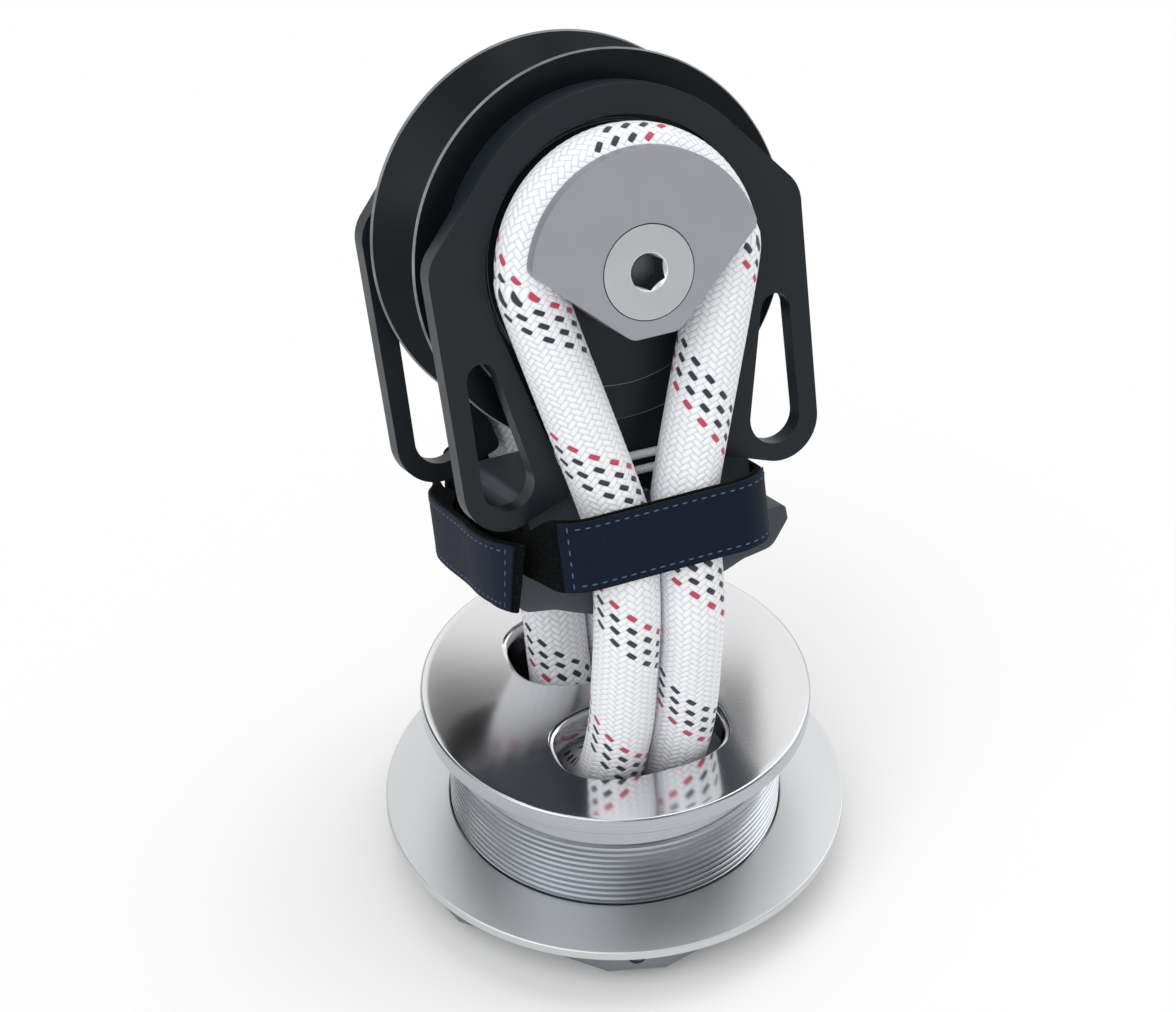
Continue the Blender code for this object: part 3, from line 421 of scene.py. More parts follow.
@dataclass(frozen=True)
class Webbing(Finish):
    """Woven nylon tape: ribs across it and a fine weave, in the piece's UV map in metres."""

    colour: str = "#070e1b"
    light: str = "#111d31"
    rib_mm: float = 0.9
    depth_mm: float = 0.10
    roughness: float = 0.85
    specular: float = 0.15
    sheen: float = 0.05

    def dress(self, tree: bpy.types.NodeTree) -> dict[str, object]:
        """Weave as two crossed waves in colour and bump.

        Args:
            tree: node tree of the material.

        Returns:
            The shader's inputs.
        """
        uv = add_node(tree, "SeparateXYZ", [add_node(tree, "UVMap", uv_map="UVMap")])
        turns = 2 * math.pi * 1000 / self.rib_mm
        waves = []
        for axis in "XY":
            angle = add_node(tree, "Math", (uv.outputs[axis], turns), operation="MULTIPLY")
            waves.append(add_node(tree, "Math", [angle], operation="SINE"))
        weave = add_node(tree, "Math", waves, operation="MULTIPLY")
        lift = add_node(tree, "MapRange", {"Value": weave, "From Min": -1.0})
        tint = add_node(tree, "Mix", {"Factor": lift, "A": linear(self.colour), "B": linear(self.light)},
                        data_type="RGBA")
        bump = add_node(tree, "Bump", {"Height": lift, "Distance": self.depth_mm / 1000})
        return {"Base Color": tint, "Normal": bump, "Roughness": self.roughness,
                "Specular IOR Level": self.specular, "Sheen Weight": self.sheen}


@dataclass(frozen=True)
class Pile(Finish):
    """Black hook-and-loop pile: matted tufts with a few paler fibres."""

    colour: str = "#07080a"
    light: str = "#1e2422"
    tuft_mm: float = 0.8
    fibres_per_tuft: float = 1.7
    pale_range: Point2 = (0.52, 0.75)
    depth_mm: float = 0.5
    roughness: float = 0.95
    specular: float = 0.1

    def dress(self, tree: bpy.types.NodeTree) -> dict[str, object]:
        """Tufts as cells roughened by a noise, in colour and bump.

        Args:
            tree: node tree of the material.

        Returns:
            The shader's inputs.
        """
        place = add_node(tree, "TexCoord").outputs["Object"]
        scale = 1000 / self.tuft_mm
        tufts = add_node(tree, "TexVoronoi", {"Vector": place, "Scale": scale})
        fibres = add_node(tree, "TexNoise", {"Vector": place, "Scale": scale * self.fibres_per_tuft,
                                             "Detail": 4.0})
        rough = add_node(tree, "Math", (tufts, fibres), operation="MULTIPLY")
        pale = add_node(tree, "MapRange", {"Value": fibres, "From Min": self.pale_range[0],
                                           "From Max": self.pale_range[1]})
        tint = add_node(tree, "Mix", {"Factor": pale, "A": linear(self.colour), "B": linear(self.light)},
                        data_type="RGBA")
        bump = add_node(tree, "Bump", {"Height": rough, "Distance": self.depth_mm / 1000})
        return {"Base Color": tint, "Normal": bump, "Roughness": self.roughness,
                "Specular IOR Level": self.specular}


@dataclass(frozen=True)
class Moulded(Finish):
    """Moulded bearing polymer, faintly mottled."""

    colour: str = "#b7a684"
    cloud_colour: str = "#a3926f"
    cloud_mm: float = 3.3
    roughness: float = 0.45

    def dress(self, tree: bpy.types.NodeTree) -> dict[str, object]:
        """A soft cloud over the base colour.

        Args:
            tree: node tree of the material.

        Returns:
            The shader's inputs.
        """
        place = add_node(tree, "TexCoord").outputs["Object"]
        cloud = add_node(tree, "TexNoise", {"Vector": place, "Scale": 1000 / self.cloud_mm})
        tint = add_node(tree, "Mix", {"Factor": cloud, "A": linear(self.colour),
                                      "B": linear(self.cloud_colour)}, data_type="RGBA")
        return {"Base Color": tint, "Roughness": self.roughness}


# Mirror-polished stainless steel: the dish shows the rope and the studio, with a faint waviness.
POLISHED = Metal("polished_stainless", "polished_stainless", colour="#d2d4d7", edge_highlight_colour="#f0f0f0",
                 roughness=0.035, grain_mm=2.0, grain_depth_mm=0.0002, blotch=0.01)
# Turned stainless steel: satin, with a fan of light round its axis. The thread is brighter.
TURNED = TurnedMetal("turned_stainless", "turned_stainless", colour="#a2a6ab", ring_colour="#888d92")
CUT = TurnedMetal("cut_stainless", "turned_stainless", colour="#8f9397", ring_colour="#7d8286",
                  roughness=0.32)
THREADED = TurnedMetal("threaded_stainless", "polished_stainless", colour="#c4c7cb", ring_colour="#a2a6ab",
                       roughness=0.2, ring_mm=0.3)
# Anodised aluminium: dull and dark, so not metallic to the eye. The turned sheave is smoother than the
# blasted plates, and its rims and the plates' edges get a painted pale highlight line.
BLACK = Metal("black_anodised_aluminium", "black_anodised", colour="#1a2025", edge_highlight_colour="#72787e",
              metallic=0.0, roughness=0.4, grain_mm=0.35, grain_depth_mm=0.010, specular=0.25)
SMOOTH_BLACK = Metal("turned_black_aluminium", "black_anodised", colour="#0f1317", edge_highlight_colour="#8d9296",
                     metallic=0.0, roughness=0.3, grain_mm=0.8, grain_depth_mm=0.004, specular=0.12)
DARK_GREY = Metal("dark_grey_anodised_aluminium", "dark_grey_anodised", colour="#474c52",
                  edge_highlight_colour="#70757a", metallic=0.0, roughness=0.5, grain_mm=0.35, grain_depth_mm=0.012,
                  specular=0.25)
# Blasted grey aluminium and steel: an even matt grey with a fine grain, the screw a little brighter.
GREY = Metal("blasted_grey_aluminium", "grey_anodised", colour="#a3a4aa", edge_highlight_colour="#b8b9bd",
             metallic=0.6, roughness=0.46, grain_mm=0.3, grain_depth_mm=0.012)
SCREW = Metal("blasted_screw_stainless", "screw_stainless", colour="#bfc1c4", edge_highlight_colour="#eceded",
              roughness=0.33, grain_mm=0.35, grain_depth_mm=0.02)
# Painted shade: the inside of a hex socket gets a darker colour for the shade in it.
SHADED_SOCKET = Metal("shaded_socket", "screw_stainless", colour="#66696c", edge_highlight_colour="#9a9da0",
               roughness=0.45, grain_mm=0.5, grain_depth_mm=0.01)
# Polyester braid: bright white with painted shade in its creases, and on the rope red and dark marker yarns.
BRAID = BraidedRope("white_polyester_braid", "white_braid")
CORD = BraidedRope("plain_cord_braid", "white_braid", marked=False, depth_mm=0.12)
# Nylon webbing: nearly black navy that takes little light. Its stitches stand out as paler dashes.
NAVY = Webbing("navy_nylon_webbing", "navy_webbing")
THREAD = Webbing("pale_stitching_thread", "navy_webbing", colour="#38455f", light="#606f8e", rib_mm=0.25,
                 depth_mm=0.05)
# Loop pile: soft black that mirrors nothing.
LINING = Pile("black_loop_lining", "navy_webbing")
# Moulded polymer: warm tan, half matt, seen only with the block taken apart.
POLYMER = Moulded("bearing_polymer", "bearing_polymer")


# Mesh helpers
def arc(centre: Point2, radius: float, start: float, end: float, step: float = FINE_ARC) -> Outline:
    """Points on an arc, both ends included.

    Args:
        centre: centre of the arc.
        radius: its radius.
        start: angle of its first point.
        end: angle of its last point.
        step: largest angle between two points.

    Returns:
        The arc's points.
    """
    count = max(2, math.ceil(abs(end - start) / step - MERGE))
    angles = [start + (end - start) * i / count for i in range(count + 1)]
    return [(centre[0] + radius * math.cos(a), centre[1] + radius * math.sin(a)) for a in angles]


def rounded(corners: Sequence[Corner]) -> Outline:
    """Closed outline through corners, each rounded to its own radius.

    Args:
        corners: (x, y, radius) in order round the outline.

    Returns:
        The outline's points.
    """
    outline: Outline = []
    for i, (x, y, radius) in enumerate(corners):
        here = Vector((x, y))
        if radius <= 0:
            outline.append((x, y))
            continue
        before = (Vector(corners[i - 1][:2]) - here).normalized()
        after = (Vector(corners[(i + 1) % len(corners)][:2]) - here).normalized()
        half = before.angle(after) / 2
        centre = here + (before + after).normalized() * radius / math.sin(half)
        first = here + before * radius / math.tan(half) - centre
        last = here + after * radius / math.tan(half) - centre
        start = math.atan2(first.y, first.x)
        sweep = (math.atan2(last.y, last.x) - start + math.pi) % (2 * math.pi) - math.pi
        outline += arc(tuple(centre), radius, start, start + sweep)
    return outline


def mirrored(half: Sequence[Corner]) -> list[Corner]:
    """Whole outline from its right half, which starts on the middle line and may end on it."""
    return [*half, *[(-x, y, r) for x, y, r in reversed(half) if abs(x) > MERGE]]


def turned(profile: Sequence[Point2], steps: int = FINE_STEPS, closed: bool = False) -> bmesh.types.BMesh:
    """Spin a profile of (radius, height) points about z.

    Args:
        profile: points of the section.
        steps: faces round the piece.
        closed: whether the last point joins the first.

    Returns:
        The spun mesh, normals outwards.
    """
    bm = bmesh.new()
    verts = [bm.verts.new((r, 0, z)) for r, z in profile]
    edges = [bm.edges.new(pair) for pair in zip(verts, verts[1:])]
    if closed:
        edges.append(bm.edges.new((verts[-1], verts[0])))
    bmesh.ops.spin(bm, geom=verts + edges, cent=(0, 0, 0), axis=(0, 0, 1), dvec=(0, 0, 0), angle=2 * math.pi,
                   steps=steps, use_merge=True)
    bmesh.ops.remove_doubles(bm, verts=bm.verts, dist=MERGE)
    bmesh.ops.recalc_face_normals(bm, faces=bm.faces)
    return bm


def collar(inner: float, outer: float, low: float, high: float, steps: int = FINE_STEPS) -> bmesh.types.BMesh:
    """Turned ring, or a solid pin where its inner radius is 0.

    Args:
        inner: inner radius.
        outer: outer radius.
        low: height of its lower face.
        high: height of its upper face.
        steps: faces round it.

    Returns:
        The ring's mesh.
    """
    return turned([(inner, high), (outer, high), (outer, low), (inner, low)], steps, inner > 0)


def plate(outlines: Sequence[Outline], low: float, high: float) -> bmesh.types.BMesh:
    """Flat piece between two heights.

    Args:
        outlines: its outer outline and the outlines of its holes.
        low: height of its lower face.
        high: height of its upper face.

    Returns:
        The piece's mesh.
    """
    bm = bmesh.new()
    edges = []
    for outline in outlines:
        verts = [bm.verts.new((x, y, low)) for x, y in outline]
        edges += [bm.edges.new(pair) for pair in zip(verts, verts[1:] + verts[:1])]
    bmesh.ops.triangle_fill(bm, use_beauty=True, edges=edges)
    made = bmesh.ops.extrude_face_region(bm, geom=bm.faces[:], use_keep_orig=True)["geom"]
    lifted = [v for v in made if isinstance(v, bmesh.types.BMVert)]
    bmesh.ops.translate(bm, verts=lifted, vec=(0, 0, high - low))
    bmesh.ops.recalc_face_normals(bm, faces=bm.faces)
    return bm


def soften(bm: bmesh.types.BMesh, width: float, segments: int = 3,
           chosen: Callable[[bmesh.types.BMEdge], bool] | None = None) -> bmesh.types.BMesh:
    """Bevel the sharp edges and mark the new faces for the painted edge highlight.

    Args:
        bm: mesh to bevel.
        width: width of the bevel.
        segments: faces across it.
        chosen: test for the edges to take besides their sharpness.

    Returns:
        The same mesh.
    """
    layer = bm.faces.layers.float.get("edge") or bm.faces.layers.float.new("edge")
    sharp = [e for e in bm.edges if len(e.link_faces) == 2 and e.calc_face_angle() > SHARP_EDGE
             and (chosen is None or chosen(e))]
    made = bmesh.ops.bevel(bm, geom=sharp, offset=width, offset_type="OFFSET", segments=segments, profile=0.5,
                           affect="EDGES", clamp_overlap=True, material=-1, loop_slide=True)
    for face in made["faces"]:
        face[layer] = 1.0
    return bm


def as_object(name: str, bm: bmesh.types.BMesh) -> bpy.types.Object:
    """Object of the scene from a mesh.

    Args:
        name: name of the object.
        bm: its mesh, which is used up.

    Returns:
        The new object.
    """
    mesh = bpy.data.meshes.new(name)
    bm.to_mesh(mesh)
    bm.free()
    made = bpy.data.objects.new(name, mesh)
    bpy.context.scene.collection.objects.link(made)
    return made


def applied(scrap: bpy.types.Object) -> bmesh.types.BMesh:
    """Mesh of an object with its modifiers or its bevel applied.

    Args:
        scrap: the object.

    Returns:
        The resulting mesh.
    """
    bpy.context.view_layer.update()
    mesh = bpy.data.meshes.new_from_object(scrap.evaluated_get(bpy.context.evaluated_depsgraph_get()))
    bm = bmesh.new()
    bm.from_mesh(mesh)
    bpy.data.meshes.remove(mesh)
    return bm


def carve(bm: bmesh.types.BMesh, cutters: Iterable[bmesh.types.BMesh],
          operation: str = "DIFFERENCE") -> bmesh.types.BMesh:
    """Cut, join or intersect a mesh with others, which are used up.

    Args:
        bm: mesh to work on, used up too.
        cutters: the other meshes.
        operation: the Boolean modifier's operation.

    Returns:
        The result.
    """
    scrap = [as_object("scrap", each) for each in [bm, *cutters]]
    for cutter in scrap[1:]:
        modifier = scrap[0].modifiers.new("cut", "BOOLEAN")
        modifier.operation = operation
        modifier.solver = "EXACT"
        modifier.object = cutter
    out = applied(scrap[0])
    for ob in scrap:
        bpy.data.meshes.remove(ob.data)
    bmesh.ops.dissolve_degenerate(out, dist=MERGE / 10, edges=out.edges)
    return out


def finished(name: str, bm: bmesh.types.BMesh, finish: Finish | Sequence[Finish], body: Body,
             replaces: Sequence[str] = (), axes: Matrix | None = None) -> bpy.types.Object:
    """Make a piece of the object from a mesh, which is used up.

    Args:
        name: name of the piece.
        bm: its mesh.
        finish: its finish, or one for each material index.
        body: body that it rides on.
        replaces: CAD nodes that it stands for.
        axes: place of the mesh's axes in the row frame.

    Returns:
        The new object.
    """
    finishes = [finish] if isinstance(finish, Finish) else list(finish)
    if axes is not None:
        bmesh.ops.transform(bm, matrix=axes, verts=bm.verts)
    piece = as_object(name, bm)
    mesh = piece.data
    for each in finishes:
        mesh.materials.append(each.material())
    mesh.shade_smooth()
    mesh.set_sharp_from_angle(angle=SHARP_SHADING)
    if "edge" in mesh.attributes:
        piece.modifiers.new("flat_faces", "WEIGHTED_NORMAL").keep_sharp = True
    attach(piece, body.value)
    if replaces:
        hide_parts(*replaces)
    LOG.info("%s: %d faces on %s", name, len(mesh.polygons), body.value)
    return piece


def smooth_route(points: Sequence[Vector], closed: bool, number: int) -> list[Vector]:
    """Evenly spaced points on a smooth curve through the given ones.

    Args:
        points: points that the curve passes through.
        closed: whether it joins up.
        number: steps along it.

    Returns:
        The points, the last one left out where the curve is closed.
    """
    count = len(points)
    fine = []
    for i in range(count if closed else count - 1):
        if closed:
            a, b, c, d = (points[(i + k) % count] for k in (-1, 0, 1, 2))
        else:
            a, b = points[max(i - 1, 0)], points[i]
            c, d = points[i + 1], points[min(i + 2, count - 1)]
        for s in range(CURVE_STEPS):
            t = s / CURVE_STEPS
            fine.append(0.5 * (2 * b + (c - a) * t + (2 * a - 5 * b + 4 * c - d) * t ** 2
                               + (3 * b - a - 3 * c + d) * t ** 3))
    fine.append((points[0] if closed else points[-1]).copy())
    spots = even_spots(fine, number)
    return [spot for spot, _ in (spots[:-1] if closed else spots)]


def even_spots(points: Sequence[Vector], number: int) -> list[tuple[Vector, Vector]]:
    """Evenly spaced spots on a line of straight steps.

    Args:
        points: corners of the line.
        number: steps along it.

    Returns:
        Each spot with the line's direction there.
    """
    lengths = [(b - a).length for a, b in zip(points, points[1:])]
    total = sum(lengths)
    spots, at, passed = [], 0, 0.0
    for k in range(number + 1):
        want = total * k / number
        while at < len(lengths) - 1 and passed + lengths[at] < want:
            passed += lengths[at]
            at += 1
        along = (points[at + 1] - points[at]).normalized()
        spots.append((points[at] + along * (want - passed), along))
    return spots


def tube(route: Sequence[Vector], radius: float, closed: bool, around: int, cells: Point2,
         count: float = 0.0) -> bmesh.types.BMesh:
    """Round cord along a route, with a UV map that counts its braid's cells.

    Args:
        route: points along the cord.
        radius: radius of the cord.
        closed: whether it joins up.
        around: half of the faces round it.
        cells: cells of the braid along it and round it.
        count: count of the cells at its start.

    Returns:
        The cord's mesh.
    """
    curve = bpy.data.curves.new("scrap", "CURVE")
    curve.dimensions = "3D"
    curve.bevel_depth = radius
    curve.bevel_resolution = around - 2
    curve.use_fill_caps = not closed
    spline = curve.splines.new("POLY")
    spline.points.add(len(route) - 1)
    for point, co in zip(spline.points, route):
        point.co = (*co, 1)
    spline.use_cyclic_u = closed
    scrap = bpy.data.objects.new("scrap", curve)
    bpy.context.scene.collection.objects.link(scrap)
    bm = applied(scrap)
    bpy.data.curves.remove(curve)
    bm.normal_update()
    uv = bm.loops.layers.uv.active
    for face in bm.faces:
        for corner in face.loops:
            share = corner[uv].uv
            corner[uv].uv = (share.x * cells[0] + count, share.y * cells[1])
    return bm


def tape(inner: Outline, outer: Outline, closed: bool,
         height: Callable[[Point2, float], float]) -> bmesh.types.BMesh:
    """Upright band between two matching plan outlines, with a UV map in metres along and up it.

    Args:
        inner: outline of its one face.
        outer: outline of its other face.
        closed: whether it joins up.
        height: height of a plan point at the band's lower edge (0) or upper edge (1).

    Returns:
        The band's mesh.
    """
    bm = bmesh.new()
    uv = bm.loops.layers.uv.new("UVMap")
    rows = [[bm.verts.new((*p, height(p, share))) for p, share in ((a, 0), (b, 0), (b, 1), (a, 1))]
            for a, b in zip(inner, outer)]
    spans = [(k, (k + 1) % len(rows)) for k in range(len(rows) if closed else len(rows) - 1)]
    length = 0.0
    for k, after in spans:
        further = length + (rows[after][1].co - rows[k][1].co).length
        for j in range(4):
            ring = (rows[k][j], rows[k][j - 3], rows[after][j - 3], rows[after][j])
            face = bm.faces.new(ring)
            for corner, u in zip(face.loops, (length, length, further, further)):
                corner[uv].uv = (u, corner.vert.co.z + UV_SHIFT * (j % 2))
        length = further
    if not closed:
        bm.faces.new(rows[0])
        bm.faces.new(rows[-1][::-1])
    bmesh.ops.recalc_face_normals(bm, faces=bm.faces)
    return bm


# The padeye and what clamps it
@dataclass
class Padeye:
    """Dished flange with two oval eyes and the threaded barrel below it."""

    rim_height: float = 0.0550
    flange_radius: float = 0.0517
    flange_edge: float = 0.0050
    edge_round: float = 0.0008
    lip: float = 0.0010
    dish_depth: float = 0.0018
    dish_steps: int = 40
    neck_radius: float = 0.0437
    neck_length: float = 0.0116
    barrel_radius: float = 0.0445
    barrel_chamfer: float = 0.0012
    thread_pitch: float = 0.0020
    thread_depth: float = 0.0011
    thread_form: tuple[float, float, float] = (0.08, 0.32, 0.76)   # root's end and crest, in pitches
    cavity_radius: float = 0.0385
    cavity_fillet: float = 0.0040
    floor_thickness: float = 0.0078
    bottom_thickness: float = 0.0030
    eye_half_length: float = 0.0224
    eye_half_width: float = 0.0137
    eye_centre: float = 0.0192
    eye_lip: float = 0.0018
    eye_flare: float = 1.4
    eye_squareness: float = 2.6
    eye_points: int = 120
    bar_depth: float = 0.0152
    bar_length: float = 0.0616
    bar_round: float = 0.0044
    polish_inset: float = 0.0006   # the polish ends this far inside the rim
    polish_depth: float = 0.0090   # and this far below it

    def dish(self, r: float) -> Point2:
        """Form of the dish, a shallow parabola.

        Args:
            r: distance from the axis.

        Returns:
            Its height and its slope there.
        """
        inner = self.flange_radius - self.lip
        fall = self.dish_depth * (1 - (r / inner) ** 2)
        return self.rim_height - fall, 2 * self.dish_depth * r / inner ** 2

    def profile(self) -> Outline:
        """Section of the body.

        Returns:
            Its (radius, height) points from the middle of the dish round to the middle of the bottom.
        """
        inner = self.flange_radius - self.lip
        edge = self.edge_round
        under = self.rim_height - self.flange_edge
        points = [(inner * i / self.dish_steps, self.dish(inner * i / self.dish_steps)[0])
                  for i in range(self.dish_steps + 1)]
        points += arc((self.flange_radius - edge, self.rim_height - edge), edge, math.pi / 2, 0,
                      math.radians(15))
        points += arc((self.flange_radius - edge / 2, under + edge / 2), edge / 2, 0, -math.pi / 2,
                      math.radians(30))
        z = under - self.neck_length
        points += [(self.neck_radius, under), (self.neck_radius, z)]
        root = self.barrel_radius - self.thread_depth
        pitch = self.thread_pitch
        root_end, crest_start, crest_end = self.thread_form
        while z - pitch > self.barrel_chamfer:
            points += [(root, z), (root, z - root_end * pitch), (self.barrel_radius, z - crest_start * pitch),
                       (self.barrel_radius, z - crest_end * pitch)]
            z -= pitch
        return points + [(root, z), (self.barrel_radius - self.barrel_chamfer, 0), (0, 0)]

    def eye_plug(self, centre_y: float) -> bmesh.types.BMesh:
        """Plug through one eye, flared to round the eye's upper edge.

        Args:
            centre_y: place of the eye's centre.

        Returns:
            The plug's mesh.
        """
        top = self.rim_height - self.dish_depth
        levels = [(self.rim_height - self.bar_depth - OVERCUT, 0.0), (top - self.eye_lip, 0.0)]
        for angle in (math.radians(degrees) for degrees in range(10, 90, 10)):
            levels.append((top - self.eye_lip * (1 - math.sin(angle)), self.eye_lip * (1 - math.cos(angle))))
        levels.append((self.rim_height + OVERCUT, self.eye_lip * self.eye_flare))
        bm = bmesh.new()
        ring = []
        n = self.eye_squareness
        for i in range(self.eye_points):
            c, s = math.cos(2 * math.pi * i / self.eye_points), math.sin(2 * math.pi * i / self.eye_points)
            size = (abs(c) ** n + abs(s) ** n) ** (-1 / n)
            x, y = self.eye_half_length * c * size, self.eye_half_width * s * size
            ring.append(bm.verts.new((x, centre_y + y, levels[0][0])))
        bm.faces.new(ring)
        edges = list(bm.edges)
        for (z_before, grow_before), (z, grow) in zip(levels, levels[1:]):
            made = bmesh.ops.extrude_edge_only(bm, edges=edges)["geom"]
            verts = [v for v in made if isinstance(v, bmesh.types.BMVert)]
            edges = [e for e in made if isinstance(e, bmesh.types.BMEdge) and e.verts[0] in verts
                     and e.verts[1] in verts]
            factor = ((self.eye_half_length + grow) / (self.eye_half_length + grow_before),
                      (self.eye_half_width + grow) / (self.eye_half_width + grow_before), 1)
            bmesh.ops.scale(bm, verts=verts, vec=factor, space=Matrix.Translation((0, -centre_y, 0)))
            bmesh.ops.translate(bm, verts=verts, vec=(0, 0, z - z_before))
        bmesh.ops.holes_fill(bm, edges=edges)
        bmesh.ops.recalc_face_normals(bm, faces=bm.faces)
        return bm

    def bar(self, high: float) -> bmesh.types.BMesh:
        """Bridge bar between the eyes, rounded below.

        Args:
            high: height of its upper side, inside the flange.

        Returns:
            The bar's mesh.
        """
        half = self.eye_centre - self.eye_half_width
        low = self.rim_height - self.bar_depth
        bar = bmesh.new()
        bmesh.ops.create_cube(bar, size=1.0)
        bmesh.ops.scale(bar, verts=bar.verts, vec=(self.bar_length, 2 * half, high - low))
        bmesh.ops.translate(bar, verts=bar.verts, vec=(0, 0, (low + high) / 2))
        lower = [e for e in bar.edges if all(v.co.z < low + MERGE for v in e.verts)
                 and abs(e.verts[0].co.y - e.verts[1].co.y) < MERGE]
        bmesh.ops.bevel(bar, geom=lower, offset=self.bar_round, segments=8, profile=0.5, affect="EDGES",
                        clamp_overlap=True, material=-1)
        return bar

    def build(self) -> None:
        """Turn the body, hollow it, keep the bar and cut the two eyes."""
        roof = self.rim_height - self.dish_depth - self.floor_thickness
        fillet = self.cavity_fillet
        cavity = [(0, roof), *arc((self.cavity_radius - fillet, roof - fillet), fillet, math.pi / 2, 0,
                                  math.radians(15)),
                  (self.cavity_radius, self.bottom_thickness), (0, self.bottom_thickness)]
        body = carve(turned(self.profile()), [turned(cavity, MEDIUM_STEPS)])
        body = carve(body, [self.bar(roof + self.floor_thickness / 2)], "UNION")
        body = carve(body, [self.eye_plug(-self.eye_centre), self.eye_plug(self.eye_centre)])
        for face in body.faces:
            middle = face.calc_center_median()
            face.material_index = int(middle.xy.length > self.flange_radius - self.polish_inset
                                      or middle.z < self.rim_height - self.polish_depth)
        piece = finished("dished_body", body, [POLISHED, THREADED], Body.PADEYE, ["padeye_body"])
        self.true_dish(piece.data)

    def true_dish(self, mesh: bpy.types.Mesh) -> None:
        """Give the dish the exact normals of its form, so that it mirrors without ripples.

        Args:
            mesh: mesh of the finished body.
        """
        inner = self.flange_radius - self.lip
        normals = [Vector(n.vector) for n in mesh.corner_normals]
        for polygon in mesh.polygons:
            if polygon.normal.z < NEARLY_LEVEL:
                continue
            for index in polygon.loop_indices:
                co = mesh.vertices[mesh.loops[index].vertex_index].co
                r = co.xy.length
                height, slope = self.dish(r)
                if MERGE < r < inner - MERGE and abs(co.z - height) < ON_SURFACE:
                    normals[index] = Vector((-slope * co.x / r, -slope * co.y / r, 1)).normalized()
        mesh.normals_split_custom_set([tuple(n) for n in normals])


@dataclass
class Backing:
    """Backing disc and the hex nut with its grub screw."""

    bore: float = 0.0448
    bore_points: int = 128
    disc_radius: float = 0.06205
    disc_top: float = 0.0173
    disc_thickness: float = 0.0028
    disc_edge: float = 0.0004
    nut_top: float = 0.0142
    nut_height: float = 0.0095
    nut_apothem: float = 0.0528
    nut_corner: float = 0.0566
    nut_edge: float = 0.0007
    nut_turn: float = math.radians(-103.5)
    grub_radius: float = 0.0014
    grub_length: float = 0.0060
    grub_inset: float = 0.0012
    grub_edge: float = 0.0002
    hole_flare: float = 0.0005

    def build(self) -> None:
        """Turn the disc, cut the nut from bar and set the screw in it."""
        disc = collar(self.bore, self.disc_radius, self.disc_top - self.disc_thickness, self.disc_top)
        finished("turned_disc", soften(disc, self.disc_edge), TURNED, Body.BACKING, ["backing_disc"])
        half = (self.nut_apothem - self.nut_corner * math.cos(math.pi / 6)) / math.sin(math.pi / 6)
        corners = []
        for i in range(6):
            turn = Matrix.Rotation(math.radians(60 * i) + self.nut_turn, 2)
            corners += [tuple(turn @ Vector((self.nut_corner, side * half))) for side in (-1, 1)]
        bore = arc((0, 0), self.bore, 0, 2 * math.pi, 2 * math.pi / self.bore_points)[:-1]
        nut = plate([corners, bore], self.nut_top - self.nut_height, self.nut_top)
        soften(nut, self.nut_edge, chosen=lambda e: e.verts[0].co.xy.length > self.bore + SLACK)
        across = (Matrix.Translation((0, 0, self.nut_top - self.nut_height / 2))
                  @ Matrix.Rotation(self.nut_turn, 4, "Z") @ Matrix.Rotation(math.pi / 2, 4, "Y"))
        start, end, mouth = self.bore - SLACK, self.nut_corner - self.grub_inset, self.nut_corner + HAIR
        wide = self.grub_radius + PLAY
        hole = turned([(0, start), (wide, start), (wide, end), (wide + self.hole_flare, mouth), (0, mouth)],
                      SMALL_STEPS)
        bmesh.ops.transform(hole, matrix=across, verts=hole.verts)
        finished("cut_nut", carve(nut, [hole]), CUT, Body.NUT, ["hex_nut"])
        grub = collar(0, self.grub_radius, end - self.grub_length, end, steps=24)
        finished("grub_screw", soften(grub, self.grub_edge, 2), SCREW, Body.NUT, ["nut_grub_screw"], across)


